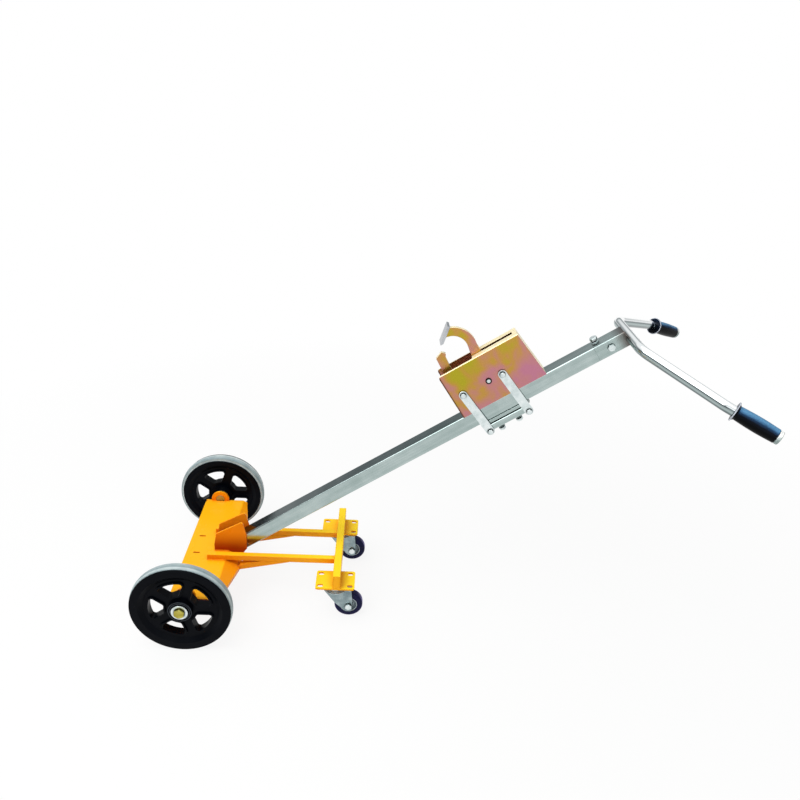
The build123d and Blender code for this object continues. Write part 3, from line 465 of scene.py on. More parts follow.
def plated_steel(name, tones, roughness, cloud_mm, gap_colour="#2C3333", highlight_above=no_highlight):
    """Clouded plating in three tones, darkened in narrow gaps by oil and painted shade, and painted pale as a
    highlight above a height in millimetres.
    """
    material, tree, coords = new_material(name)
    cloud = add_node(
        tree, "TexNoise", {"Scale": per_mm(cloud_mm), "Detail": 4.0, "Roughness": 0.6, "Vector": coords}
    )
    stops = list(zip((0.32, 0.5, 0.68), tones))
    colour = add_node(tree, "ValToRGB", {"stops": stops, "Fac": cloud})
    gap = add_node(tree, "AmbientOcclusion", {"samples": 8, "Distance": gap_reach * MM}).outputs["AO"]
    # Oil and dirt, with painted contact shade: darker where another face is near.
    grime_and_shade = add_node(tree, "MapRange", {"From Min": 0.96, "From Max": 0.68, "To Max": 0.95, "Value": gap})
    height = add_node(tree, "SeparateXYZ", {"Vector": coords}).outputs["Z"]
    # Painted highlight: pale and less metallic above the given height.
    painted_highlight = add_node(
        tree, "MapRange",
        {
            "From Min": (highlight_above - highlight_blend) * MM, "From Max": (highlight_above + highlight_blend) * MM,
            "To Max": 0.8, "Value": height,
        },
    )
    for share, over in ((grime_and_shade, gap_colour), (painted_highlight, "#E4EAEA")):
        colour = add_node(tree, "Mix", {"data_type": "RGBA", 0: share, 6: colour, 7: over}).outputs[2]
    metal = add_node(tree, "MapRange", {"To Min": 1.0, "To Max": 0.2, "Value": painted_highlight})
    gloss = add_node(
        tree, "MapRange", {"To Min": roughness - 0.08, "To Max": roughness + 0.08, "Value": cloud}
    )
    return finish_material(material, {"Base Color": colour, "Metallic": metal, "Roughness": gloss})


finish_of["bright_zinc"] = plated_steel(
    "bright_zinc_plate", ("#CBD7D7", "#DCE6E6", "#ECF2F2"), roughness=0.28, cloud_mm=18
)
finish_of["tool_steel"] = plated_steel(
    "ground_steel", ("#A2A5AA", "#B2B5B9", "#C2C5C8"), roughness=0.3, cloud_mm=30
)
# The tops of the fork crowns, above 88 mm, carry the painted highlight.
own_finish["caster_fork"] = plated_steel(
    "grey_zinc_plate", ("#76868A", "#8C9C9F", "#A8B6B8"),
    roughness=0.22, cloud_mm=26, gap_colour="#687677", highlight_above=88,
)
# The swivel rings are painted pale all over as a highlight.
own_finish["caster_races"] = plated_steel(
    "zinc_plate_painted_highlight", ("#D2DCDC", "#E2E9E9", "#F0F4F4"),
    roughness=0.4, cloud_mm=18, gap_colour="#B4C0C0", highlight_above=0,
)
own_finish["hub_bolts"] = plated_steel(
    "gold_zinc_plate", ("#A2963C", "#B4A84A", "#C8BE66"), roughness=0.3, cloud_mm=12, gap_colour="#4A4218"
)
spring_steel = plated_steel(
    "phosphated_spring_steel", ("#1C1A18", "#262320", "#322E2A"),
    roughness=0.4, cloud_mm=8, gap_colour="#0C0B0A",
)
print("made", finish_of["bright_zinc"].name, "and five more")

# %% [markdown]
# Rims, grips, caster tyres and plugs are moulded: nylon is dark and satin, vinyl and urethane are glossier.
# All have a fine moulded grain in the bump and slow changes of tone. Some have light painted in: the upper side of
# the grips is painted a steel blue, and that of the plugs paler, following the normal, and the urethane has a
# painted violet sheen at a glancing angle. Thin pale rings on edges are painted highlights.

# %% Moulded plastic and rubber
tone_mm = 40


def moulded(name, stops, roughness, grain_mm, bump_mm, ior, specular=0.5, cause="tone"):
    """A moulded finish whose colour follows a slow noise, the upward normal or the glancing angle."""
    material, tree, coords = new_material(name)
    tone = add_node(
        tree, "TexNoise", {"Scale": per_mm(tone_mm), "Detail": 5.0, "Roughness": 0.65, "Vector": coords}
    )
    # The rise cause paints light on faces that look up; the glance cause paints a sheen at a glancing angle.
    if cause == "rise":
        lift = {"operation": "MULTIPLY_ADD", 0: tone, 1: 0.3, 2: facing(tree, skyward)}
        place = add_node(tree, "Math", lift)
    elif cause == "glance":
        place = add_node(tree, "LayerWeight", {"Blend": 0.4}).outputs["Facing"]
    else:
        place = tone
    colour = add_node(tree, "ValToRGB", {"stops": stops, "Fac": place})
    grain = add_node(tree, "TexNoise", {"Scale": per_mm(grain_mm), "Detail": 2.0, "Vector": coords})
    bump = add_node(tree, "Bump", {"Strength": 0.3, "Distance": bump_mm * MM, "Height": grain})
    gloss = add_node(
        tree, "MapRange", {"To Min": roughness - 0.07, "To Max": roughness + 0.07, "Value": tone}
    )
    plastic = {"IOR": ior, "Specular IOR Level": specular}
    return finish_material(material, {**plastic, "Base Color": colour, "Roughness": gloss, "Normal": bump})


finish_of["black_plastic"] = moulded(
    "black_nylon", [(0.35, "#020409"), (0.68, "#05070D")],
    roughness=0.34, grain_mm=2.5, bump_mm=0.05, ior=1.5, specular=0.05,
)
finish_of["grey_plastic"] = moulded(
    "grey_polypropylene", [(0.35, "#56646A"), (0.68, "#74848A")],
    roughness=0.36, grain_mm=2.5, bump_mm=0.05, ior=1.49, specular=0.3,
)
# Painted reflection: the grip's upper side is painted steel blue.
finish_of["black_rubber"] = moulded(
    "navy_grip_vinyl",
    [(0.1, "#010204"), (0.48, "#050914"), (0.72, "#1C3552"), (0.92, "#4A78A0"), (1.0, "#588AB0")],
    roughness=0.3, grain_mm=1.5, bump_mm=0.06, ior=1.5, specular=0.07, cause="rise",
)
# Painted sheen: violet where the tyre is seen at a glancing angle.
finish_of["dark_tyre"] = moulded(
    "violet_black_urethane", [(0.2, "#16183A"), (0.45, "#211F48"), (0.75, "#6757A2")],
    roughness=0.3, grain_mm=3.0, bump_mm=0.04, ior=1.5, specular=0.08, cause="glance",
)
# Painted light: the plug's upward side is painted paler.
finish_of["pale_plastic"] = moulded(
    "pale_polypropylene", [(0.1, "#8C9C9A"), (0.42, "#B8C4C2"), (0.72, "#F2F3F0")],
    roughness=0.34, grain_mm=3.0, bump_mm=0.04, ior=1.49, specular=0.3, cause="rise",
)
# Painted highlights: lighter finishes for thin rings on edges, where a line of light would fall.
painted_highlight_grey = moulded(
    "grey_polypropylene_painted_highlight", [(0.35, "#A4B0B4"), (0.68, "#C2CCCF")],
    roughness=0.36, grain_mm=2.5, bump_mm=0.05, ior=1.49,
)
painted_highlight_vinyl = moulded(
    "rubbed_grip_vinyl", [(0.35, "#9298A6"), (0.68, "#C0C5CE")],
    roughness=0.4, grain_mm=1.5, bump_mm=0.05, ior=1.5,
)
painted_highlight_nylon = moulded(
    "black_nylon_painted_highlight", [(0.35, "#20262E"), (0.68, "#333B46")],
    roughness=0.34, grain_mm=2.5, bump_mm=0.05, ior=1.5,
)
print("made", finish_of["black_plastic"].name, "and seven more")

# %% [markdown]
# A tread is grey rubber that has rolled: dust and wear lie in pale rings round the wheel. The rings come
# from a noise that reads only two things, the distance from the axle and the place across the tread, so
# it is the same all the way round.

# %% Rolled rubber
tread_stops = [(0.36, "#74858A"), (0.46, "#99A8AA"), (0.54, "#B7C2C2"), (0.64, "#DEE4E2")]


def rolled_rubber():
    """Grey rubber with rings of wear round the wheels' axle."""
    material, tree, coords = new_material("grey_rolled_rubber")
    centred = add_node(tree, "VectorMath", {"operation": "SUBTRACT", 0: coords, 1: (axle.x, 0, axle.z)})
    axes = add_node(tree, "SeparateXYZ", {"Vector": centred}).outputs
    flat = add_node(tree, "CombineXYZ", {"X": axes["X"], "Z": axes["Z"]})
    radius = add_node(tree, "VectorMath", {"operation": "LENGTH", 0: flat}).outputs["Value"]
    ring_place = add_node(tree, "CombineXYZ", {"X": radius, "Y": axes["Y"]})
    rings = add_node(tree, "TexNoise", {"Scale": per_mm(8), "Detail": 3.0, "Vector": ring_place})
    scuffs = add_node(
        tree, "TexNoise", {"Scale": per_mm(30), "Detail": 5.0, "Roughness": 0.7, "Vector": coords}
    )
    worn = add_node(tree, "Mix", {"data_type": "FLOAT", "Factor": 0.25, 2: rings, 3: scuffs})
    colour = add_node(tree, "ValToRGB", {"stops": tread_stops, "Fac": worn})
    bump = add_node(tree, "Bump", {"Strength": 0.25, "Distance": 0.3 * MM, "Height": rings})
    rubber = {"IOR": 1.5, "Roughness": 0.5, "Specular IOR Level": 0.4}
    return finish_material(material, {**rubber, "Base Color": colour, "Normal": bump})


def kind_of(node):
    """A node's name without its side."""
    return node.removeprefix("left_").removeprefix("right_")


def finish_for(node):
    """The finish of a node: its own, or that of its slot."""
    return own_finish.get(kind_of(node), finish_of[slot_of[node]])


finish_of["grey_rubber"] = rolled_rubber()
print(len(finish_of), "finishes by slot and", len(own_finish), "of a node's own")

# %% [markdown]
# A CAD solid has knife edges, and real steel has none: each sheared, sawn or moulded edge is slightly
# round and catches a line of light. A copy of each node that is listed here is merged, its edges get a
# bevel of the listed millimetres, and weighted normals keep the flat faces flat.

# %% Rounded copies of the rigid pieces
def bake(piece):
    """Turn an object with modifiers into a plain mesh."""
    graph = bpy.context.evaluated_depsgraph_get()
    mesh = bpy.data.meshes.new_from_object(piece.evaluated_get(graph))
    piece.modifiers.clear()
    piece.data = mesh
    return piece


def new_piece(name, mesh):
    """An object for a mesh, at the origin."""
    piece = bpy.data.objects.new(name, mesh)
    scene.collection.objects.link(piece)
    return piece


def merged_copy(node):
    """A copy of a node's mesh with its loose triangles joined into flat faces."""
    work = bmesh.new()
    work.from_mesh(frame["nodes"][node].data)
    bmesh.ops.remove_doubles(work, verts=work.verts, dist=0.002 * MM)
    bmesh.ops.dissolve_limit(work, angle_limit=radians(0.3), verts=work.verts, edges=work.edges)
    points = [v.co.copy() for v in work.verts]
    work.verts.index_update()
    faces = [[v.index for v in f.verts] for f in work.faces]
    work.free()
    mesh = bpy.data.meshes.new(node)
    mesh.from_pydata(points, [], faces)
    return mesh


def soften(piece, edge, segments=2, angle=32):
    """Round a piece's sharp edges and shade it smooth."""
    bevel = piece.modifiers.new("rounded_edges", "BEVEL")
    bevel.width = edge * MM
    bevel.segments = segments
    bevel.limit_method = "ANGLE"
    bevel.angle_limit = radians(angle)
    bevel.miter_outer = "MITER_ARC"
    piece.data.shade_smooth()
    weighted = piece.modifiers.new("flat_faces", "WEIGHTED_NORMAL")
    weighted.keep_sharp = True
    bake(piece)
    return piece


def dress(piece, body, finish):
    """Give a finished piece its body and material."""
    piece.data.materials.clear()
    piece.data.materials.append(finish)
    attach(piece, body)
    return piece


def stand_for(piece, node):
    """Let a finished piece stand for a CAD node: same body and finish."""
    dress(piece, body_of[node], finish_for(node))
    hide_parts(node)
    return piece


kinds_by_edge = {
    0.4: ("jaw_pin", "jaw_spacers"),
    0.5: ("mast",),
    0.6: (
        "cross_bar_caps", "head_housing", "jaw_tooth", "jaw_stop", "brake_shoe", "caster_core",
        "caster_races", "stub_axle",
    ),
    0.8: ("handle_stub", "front_link", "rear_link", "clamp_bar", "hub_washers"),
    0.9: ("caster_plate", "lower_jaw", "caster_fork", "wheel_rim"),
    1.0: ("stringer", "brace", "cross_bar"),
    1.1: ("upper_jaw",),
    1.2: ("cheek", "axle_plate"),
    1.5: ("base_plate",),
}
edge_of = {kind: edge for edge, kinds in kinds_by_edge.items() for kind in kinds}
for node in sorted(frame["nodes"]):
    frame["nodes"][node].data.materials.clear()
    frame["nodes"][node].data.materials.append(finish_for(node))
    if kind_of(node) in edge_of:
        piece = new_piece(f"{node}_finished", merged_copy(node))
        soften(piece, edge_of[kind_of(node)])
        stand_for(piece, node)

# %% [markdown]
# Treads, tyres, grips and plugs are round, and a CAD mesh shows its facets on them. A piece that is turned
# from a short profile has as many steps round it as the eye needs. The corners of the profile are rounded
# by one function, which finds the arc that touches both edges of a corner; the same function will round
# the bends of the handlebar.

# %% Turned pieces
corner_share = 0.48


def rounded(points, radius, steps=5, closed=False):
    """A polyline with its corners replaced by arcs of a radius, all in millimetres."""
    points = [Vector(p) for p in points]
    route = []
    for i, corner in enumerate(points):
        if not closed and i in (0, len(points) - 1):
            route.append(corner)
            continue
        before = points[i - 1] - corner
        after = points[(i + 1) % len(points)] - corner
        half_angle = before.angle(after) / 2
        room = corner_share * min(before.length, after.length)
        reach = min(radius / tan(half_angle), room)
        arc_radius = reach * tan(half_angle)
        toward = (before.normalized() + after.normalized()).normalized()
        centre = corner + toward * arc_radius / sin(half_angle)
        start = corner + before.normalized() * reach - centre
        end = corner + after.normalized() * reach - centre
        turns = [start.slerp(end, k / steps).normalized() for k in range(steps + 1)]
        route += [centre + arc_radius * turn for turn in turns]
    return route


def turned(name, profile, centre, axis, segments=96, closed=True):
    """Piece turned about an axis: profile points are (distance along the axis, radius) in millimetres."""
    axis = Vector(axis).normalized()
    side = axis.orthogonal().normalized()
    other = axis.cross(side)
    points = []
    for along, radius in profile:
        for i in range(segments):
            turn = tau * i / segments
            points.append(centre + MM * (along * axis + radius * (cos(turn) * side + sin(turn) * other)))
    faces = []
    rings = len(profile)
    for ring in range(rings if closed else rings - 1):
        here = ring * segments
        there = (ring + 1) % rings * segments
        for i in range(segments):
            j = (i + 1) % segments
            faces.append((here + i, here + j, there + j, there + i))
    if not closed:
        faces.append(tuple(range(segments)))
        faces.append(tuple(range((rings - 1) * segments, rings * segments)))
    work = bmesh.new()
    mesh = bpy.data.meshes.new(name)
    mesh.from_pydata(points, [], faces)
    work.from_mesh(mesh)
    bmesh.ops.recalc_face_normals(work, faces=work.faces)
    work.to_mesh(mesh)
    work.free()
    mesh.shade_smooth()
    mesh.set_sharp_from_angle(angle=radians(28))
    return new_piece(name, mesh)


def middle_of(node):
    """Middle of a node's box."""
    low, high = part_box(node)
    return (low + high) / 2


tread_half = (wheel_high.y - wheel_low.y) / 2 / MM
tread_depth = 13
tread_crown = 2
crown_steps = 8
caster_low, caster_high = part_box("left_caster_tyre")
caster_radius = (caster_high.z - caster_low.z) / 2 / MM
caster_half = (caster_high.y - caster_low.y) / 2 / MM
tyre_depth = 14
tyre_edge = 6
caster_bore = caster_radius - tyre_depth
tread_section = [
    (tread_half * k / crown_steps, wheel_radius - tread_crown * (k / crown_steps) ** 2)
    for k in range(-crown_steps, crown_steps + 1)
]
tread_section += [(tread_half, wheel_radius - tread_depth), (-tread_half, wheel_radius - tread_depth)]
tyre_section = rounded(
    [
        (-caster_half, caster_bore),
        (-caster_half, caster_radius),
        (caster_half, caster_radius),
        (caster_half, caster_bore),
    ],
    tyre_edge,
)
for name, side in sides:
    node = f"{name}_wheel_tread"
    stand_for(turned(f"{node}_turned", tread_section, middle_of(node), across, segments=160), node)
    node = f"{name}_caster_tyre"
    stand_for(turned(f"{node}_turned", tyre_section, middle_of(node), across, segments=120), node)
print("tread", round(2 * wheel_radius), "mm, caster", round(2 * caster_radius), "mm")

# %% [markdown]
# The handlebar is one tube bent four times. Its route is a line with four rounded corners, and Geometry
# Nodes sweep a circle along it: Mesh to Curve reads the route, Curve to Mesh gives it a round section. A
# tree keeps its inputs by an identifier, so a small function sets them by name before it is evaluated.

# %% Handlebar
def new_tree(name, sizes):
    """An empty Geometry Nodes tree with a mesh input, named sizes and a material."""
    tree = bpy.data.node_groups.new(name, "GeometryNodeTree")
    tree.interface.new_socket("Geometry", in_out="INPUT", socket_type="NodeSocketGeometry")
    for size in sizes:
        tree.interface.new_socket(size, in_out="INPUT", socket_type="NodeSocketFloat")
    tree.interface.new_socket("Material", in_out="INPUT", socket_type="NodeSocketMaterial")
    tree.interface.new_socket("Geometry", in_out="OUTPUT", socket_type="NodeSocketGeometry")
    return tree, add_node(tree, "NodeGroupInput").outputs


def end_tree(tree, geometry, material):
    """Close a tree: real mesh instead of instances, with its material."""
    real = add_node(tree, "GeometryNodeRealizeInstances", {"Geometry": geometry})
    done = add_node(tree, "GeometryNodeSetMaterial", {"Geometry": real, "Material": material})
    add_node(tree, "NodeGroupOutput", {"Geometry": done})


def grow(piece, tree, values):
    """Run a tree on a piece with values by input name, and keep the result as a plain mesh."""
    modifier = piece.modifiers.new(tree.name, "NODES")
    modifier.node_group = tree
    for item in tree.interface.items_tree:
        if item.in_out == "INPUT" and item.name in values:
            modifier[item.identifier] = values[item.name]
    return bake(piece)


def route_mesh(name, routes):
    """A mesh of loose polylines, each a list of points in metres."""
    points = [p for route in routes for p in route]
    edges = []
    start = 0
    for route in routes:
        edges += [(start + i, start + i + 1) for i in range(len(route) - 1)]
        start += len(route)
    mesh = bpy.data.meshes.new(name)
    mesh.from_pydata(points, edges, [])
    return mesh


tube_tree, tube_inputs = new_tree("tube_along_route", ["Radius"])
route_curve = add_node(tube_tree, "GeometryNodeMeshToCurve", {"Mesh": tube_inputs["Geometry"]})
ring = add_node(
    tube_tree, "GeometryNodeCurvePrimitiveCircle", {"Resolution": 48, "Radius": tube_inputs["Radius"]}
)
swept = add_node(
    tube_tree, "GeometryNodeCurveToMesh", {"Fill Caps": True, "Curve": route_curve, "Profile Curve": ring}
)
smooth = add_node(tube_tree, "GeometryNodeSetShadeSmooth", {"Geometry": swept})
end_tree(tube_tree, smooth, tube_inputs["Material"])

handle_radius = 12.5
handle_tilt = radians(21.9)
handle_cross = 100
handle_bend = 55
bend_steps = 16
arm_reach = 157
arm_spread = 254.5
grip_splay = radians(29.2)
grip_start = 20
grip_length = 97
bar_low, bar_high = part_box("handlebar")
handle_centre = Vector((bar_low.x + handle_radius * MM, 0, bar_high.z - handle_radius * MM))
handle_back = Vector((cos(handle_tilt), 0, -sin(handle_tilt)))


def on_handle(back, y):
    """Point in the handlebar's own plane: back from its cross piece, and across."""
    return handle_centre + MM * (back * handle_back + y * across)


tube_end = grip_start + grip_length
tube_reach = arm_reach + tube_end * cos(grip_splay)
tube_spread = arm_spread + tube_end * sin(grip_splay)
flat_route = rounded(
    [
        (tube_reach, -tube_spread),
        (arm_reach, -arm_spread),
        (0, -handle_cross),
        (0, handle_cross),
        (arm_reach, arm_spread),
        (tube_reach, tube_spread),
    ],
    handle_bend,
    bend_steps,
)
bar_route = route_mesh("handlebar_route", [[on_handle(*p) for p in flat_route]])
handlebar = new_piece("handlebar_swept", bar_route)
grow(handlebar, tube_tree, {"Radius": handle_radius * MM, "Material": finish_of["chrome_tube"]})
stand_for(handlebar, "handlebar")
print("handlebar", len(handlebar.data.polygons), "faces")

# %% [markdown]
# A grip is a vinyl sleeve that flares to a thin flange against the hand's edge. It swells a little in the middle,
# and its edges are rounded as moulding leaves them. A pale ring on the flange's rim is a painted highlight. A pale
# plug closes the tube's end.

# %% Grips and plugs
grip_radius = 16.5
grip_swell = 1.5
flange_radius = 22.5
flange_width = 4
flange_rim = 2
grip_edge = 3
barrel_steps = 12
flare_steps = 8
flare_curve = 2.2
plug_radius = 16
plug_head = 9
plug_stem = 4
stem_radius = handle_radius - 2
plug_dimple = 1
highlight_rim_width = 1.7
highlight_rim_proud = 0.2
barrel_start = grip_start + 2 * flange_width
barrel_length = grip_length - 2 * flange_width - grip_edge
barrel = [
    (
        barrel_start + barrel_length * k / barrel_steps,
        grip_radius + grip_swell * sin(pi * k / barrel_steps),
    )
    for k in range(barrel_steps + 1)
]
flare = [
    (
        grip_start + flange_rim + (2 * flange_width - flange_rim) * k / flare_steps,
        grip_radius + (flange_radius - grip_radius) * (1 - k / flare_steps) ** flare_curve,
    )
    for k in range(1, flare_steps)
]
flange = rounded(
    [
        (grip_start, handle_radius),
        (grip_start, flange_radius),
        (grip_start + flange_rim, flange_radius),
        flare[0],
    ],
    radius=0.9,
)
grip_end = rounded([barrel[-1], (tube_end, grip_radius), (tube_end, handle_radius)], radius=1)
grip_profile = flange[:-1] + flare + barrel + grip_end[1:]
rim_profile = rounded(
    [
        (grip_start - highlight_rim_proud, flange_radius - highlight_rim_width),
        (grip_start + flange_rim + highlight_rim_proud, flange_radius - highlight_rim_width),
        (grip_start + flange_rim + highlight_rim_proud, flange_radius + highlight_rim_proud),
        (grip_start - highlight_rim_proud, flange_radius + highlight_rim_proud),
    ],
    radius=0.5, steps=3, closed=True,
)
plug_profile = rounded(
    [
        (tube_end - plug_stem, stem_radius),
        (tube_end, stem_radius),
        (tube_end, plug_radius),
        (tube_end + plug_head, plug_radius),
        (tube_end + plug_head, plug_dimple),
    ],
    radius=2.4,
)


def join(pieces, name):
    """Join pieces into one mesh, which keeps its sharp edges."""
    work = bmesh.new()
    for piece in pieces:
        work.from_mesh(piece.data)
        bpy.data.objects.remove(piece)
    mesh = bpy.data.meshes.new(name)
    work.to_mesh(mesh)
    work.free()
    return new_piece(name, mesh)


grip_plugs = []
grip_rims = []
for name, side in sides:
    start = on_handle(arm_reach, side * arm_spread)
    outward = cos(grip_splay) * handle_back + side * sin(grip_splay) * across
    stand_for(turned(f"{name}_grip_turned", grip_profile, start, outward), f"{name}_grip")
    grip_rims.append(turned(f"{name}_rim_turned", rim_profile, start, outward))
    grip_plugs.append(turned(f"{name}_plug_turned", plug_profile, start, outward, closed=False))
stand_for(join(grip_plugs, "grip_plugs_turned"), "grip_plugs")
dress(join(grip_rims, "grip_rims"), body_of["left_grip"], painted_highlight_vinyl)
print("grips", grip_length, "mm long")

# %% [markdown]
# Bolts and nuts repeat, so one Geometry Nodes tree makes them all. A hexagonal prism is cut by a wide cone,
# which gives the 30 degree chamfer that a real head has at its corners. A thin washer face and a shank are
# joined to it, and the whole is put on each point of a small mesh. The points carry three values: where
# the head aims, how far it is turned, and how tall it is against the tree's own height.

# %% Hexagon fasteners
crown_share = 0.47
bolt_tree, bolt_inputs = new_tree(
    "hexagon_fasteners", ["Flats", "Head", "Washer Radius", "Washer", "Shank Radius", "Shank"]
)
corner_radius = add_node(bolt_tree, "Math", {"operation": "DIVIDE", 0: bolt_inputs["Flats"], 1: sqrt(3)})
crown_radius = add_node(
    bolt_tree, "Math", {"operation": "MULTIPLY", 0: bolt_inputs["Flats"], 1: crown_share}
)
cone_radius = add_node(
    bolt_tree, "Math", {"operation": "MULTIPLY_ADD", 0: bolt_inputs["Head"], 1: sqrt(3), 2: crown_radius}
)
solids = []
for vertices, top, bottom, depth in (
    (6, corner_radius, corner_radius, "Head"),
    (48, crown_radius, cone_radius, "Head"),
    (40, bolt_inputs["Washer Radius"], bolt_inputs["Washer Radius"], "Washer"),
    (32, bolt_inputs["Shank Radius"], bolt_inputs["Shank Radius"], "Shank"),
):
    sizes = {"Vertices": vertices, "Radius Top": top, "Radius Bottom": bottom, "Depth": bolt_inputs[depth]}
    solids.append(add_node(bolt_tree, "GeometryNodeMeshCone", sizes))
prism, cone, washer, shank = solids
head = add_node(
    bolt_tree, "GeometryNodeMeshBoolean",
    {"operation": "INTERSECT", "solver": "EXACT", "Mesh 2": [prism, cone]},
)
lift = add_node(bolt_tree, "CombineXYZ", {"Z": bolt_inputs["Washer"]})
raised = add_node(bolt_tree, "GeometryNodeTransform", {"Geometry": head, "Translation": lift})
depth = add_node(bolt_tree, "Math", {"operation": "MULTIPLY", 0: bolt_inputs["Shank"], 1: -1.0})
below = add_node(bolt_tree, "CombineXYZ", {"Z": depth})
sunk = add_node(bolt_tree, "GeometryNodeTransform", {"Geometry": shank, "Translation": below})
whole = add_node(bolt_tree, "GeometryNodeJoinGeometry", {"Geometry": [raised, washer, sunk]})
aim, turn, tall = [
    add_node(bolt_tree, "GeometryNodeInputNamedAttribute", {"data_type": kind, "Name": name})
    for name, kind in (("aim", "FLOAT_VECTOR"), ("turn", "FLOAT"), ("tall", "FLOAT"))
]
aimed = add_node(bolt_tree, "FunctionNodeAlignRotationToVector", {"axis": "Z", "Vector": aim})
about = add_node(bolt_tree, "CombineXYZ", {"Z": turn})
spun = add_node(bolt_tree, "FunctionNodeEulerToRotation", {"Euler": about})
rotation = add_node(
    bolt_tree, "FunctionNodeRotateRotation",
    {"rotation_space": "LOCAL", "Rotation": aimed, "Rotate By": spun},
)
stretch = add_node(bolt_tree, "CombineXYZ", {"X": 1.0, "Y": 1.0, "Z": tall})
placed = add_node(
    bolt_tree, "GeometryNodeInstanceOnPoints",
    {"Points": bolt_inputs["Geometry"], "Instance": whole, "Rotation": rotation, "Scale": stretch},
)
end_tree(bolt_tree, placed, bolt_inputs["Material"])
print("fastener tree has", len(bolt_tree.nodes), "nodes")

# %% [markdown]
# Each set of bolts reads its places from the frame: the box of the CAD bolts gives the seats, and the
# joints give the pivots. No two heads of a set are turned alike, as on a real trolley.

# %% Bolts in their places
first_turn = 0.35
turn_step = 0.62


def point_values(mesh, name, kind, field, values):
    """Give each point of a mesh a value of its own."""
    layer = mesh.attributes.new(name, kind, "POINT")
    for item, value in zip(layer.data, values):
        setattr(item, field, value)


def fasten(node, seats, **sizes):
    """Put fasteners on seats (point, aim, tallness) in place of a CAD node. The sizes are those of the
    tree, in millimetres."""
    points, aims, tallness = zip(*seats)
    mesh = bpy.data.meshes.new(f"{node}_seats")
    mesh.from_pydata(points, [], [])
    point_values(mesh, "aim", "FLOAT_VECTOR", "vector", aims)
    point_values(mesh, "turn", "FLOAT", "value", [first_turn + turn_step * i for i in range(len(seats))])
    point_values(mesh, "tall", "FLOAT", "value", tallness)
    piece = new_piece(f"{node}_hexagons", mesh)
    values = {name.replace("_", " ").title(): size * MM for name, size in sizes.items()}
    grow(piece, bolt_tree, {**values, "Material": finish_for(node)})
    soften(piece, edge=0.25, segments=1, angle=25)
    return stand_for(piece, node)


def both_ends(centre, half):
    """Seats on both sides of a point, facing out across the trolley."""
    return [(centre + side * half * MM * across, side * across, 1.0) for name, side in sides]


link_pitch = 109
link_bolt_head = 5.5
link_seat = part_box("link_bolts")[1].y / MM - link_bolt_head
clamp_pivot = Vector(joint_of["clamp_hinge"]["pos_m"])
link_step = link_pitch * MM * mast_dir
for node, pivot in (("link_bolts", link_pivot), ("clamp_bolts", clamp_pivot)):
    seats = both_ends(pivot, link_seat) + both_ends(pivot + link_step, link_seat)
    fasten(node, seats, flats=11.5, head=4.9, washer_radius=6.6, washer=0.6, shank_radius=4, shank=link_seat)

hub_seats = both_ends(Vector((axle.x, 0, axle.z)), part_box("hub_washers")[1].y / MM)
fasten("hub_bolts", hub_seats, flats=23.5, head=5.6, washer_radius=12.6, washer=0.9, shank_radius=7, shank=8)

caster_axle_head = 6.5
for name, side in sides:
    node = f"{name}_caster_axle"
    low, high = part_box(node)
    seat = (high.y - low.y) / 2 / MM - caster_axle_head
    seats = both_ends((low + high) / 2, seat)
    fasten(node, seats, flats=15.5, head=5.5, washer_radius=9.5, washer=1, shank_radius=5, shank=seat)

shoe_bolt_places = (68, 117)
clamp_web = -54.3
shoe_bolt_low = -83.3
web_nut_tall = 1.15
shoe_seats = [(on_head(place, shoe_bolt_low), -mast_up, 1.0) for place in shoe_bolt_places]
shoe_seats += [(on_head(place, clamp_web), -mast_up, web_nut_tall) for place in shoe_bolt_places]
fasten(
    "shoe_bolts", shoe_seats,
    flats=15.5, head=6.2, washer_radius=9, washer=0.8, shank_radius=4.6, shank=29,
)

mast_end_place = 358
stub_side = 20
screw_place = mast_end_place + 10
side_bolt_place = mast_end_place + 37.5
lock_nut_height = 11
screw_nut_tall = 1.1
lock_nut_tall = 0.95
handle_seats = both_ends(on_head(side_bolt_place, -stub_side), stub_side)
handle_seats.append((on_head(screw_place, 0), mast_up, screw_nut_tall))
handle_seats.append((on_head(screw_place, lock_nut_height), mast_up, lock_nut_tall))
fasten(
    "handle_bolts", handle_seats,
    flats=16.5, head=5.6, washer_radius=9.6, washer=1, shank_radius=5, shank=10,
)

# %% [markdown]
# The long screws under the clamp show their threads, and the hook's pin its spring rings. Hubs and caster cores
# have thin moulded rings, coloured lighter as painted highlights. Threads are drawn as rings with a coarse pitch,
# because a true fine thread is smaller than a pixel.

# %% Threads, spring rings and moulded rings
def ring_section(low, high, inner, outer):
    """Section of a thin ring with rounded edges, from a low to a high place on its axis."""
    corners = [(low, inner), (high, inner), (high, outer), (low, outer)]
    return rounded(corners, radius=0.3, steps=3, closed=True)


thread_pitch = 1.75
thread_rings = 12
thread_core = 3
thread_root = 4.7
thread_crest = 5.3
thread_profile = [(0, thread_core)]
for k in range(thread_rings):
    thread_profile += [(thread_pitch * k, thread_root), (thread_pitch * (k + 0.5), thread_crest)]
thread_profile += [(thread_pitch * thread_rings, radius) for radius in (thread_root, thread_core)]
threads = [
    turned(f"thread_{i}", thread_profile, on_head(place, shoe_bolt_low), mast_up, 32, closed=False)
    for i, place in enumerate(shoe_bolt_places)
]
dress(join(threads, "shoe_threads"), "clamp", finish_of["bright_zinc"])

jaw_pin = Vector(joint_of["hook_hinge"]["pos_m"])
pin_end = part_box("jaw_pin")[1].y / MM
pin_section = ring_section(low=-1, high=0.7, inner=5.1, outer=7.8)
pin_rings = [
    turned(f"{name}_pin_ring", pin_section, jaw_pin + side * pin_end * MM * across, side * across, 64)
    for name, side in sides
]
dress(join(pin_rings, "jaw_pin_rings"), "head", spring_steel)

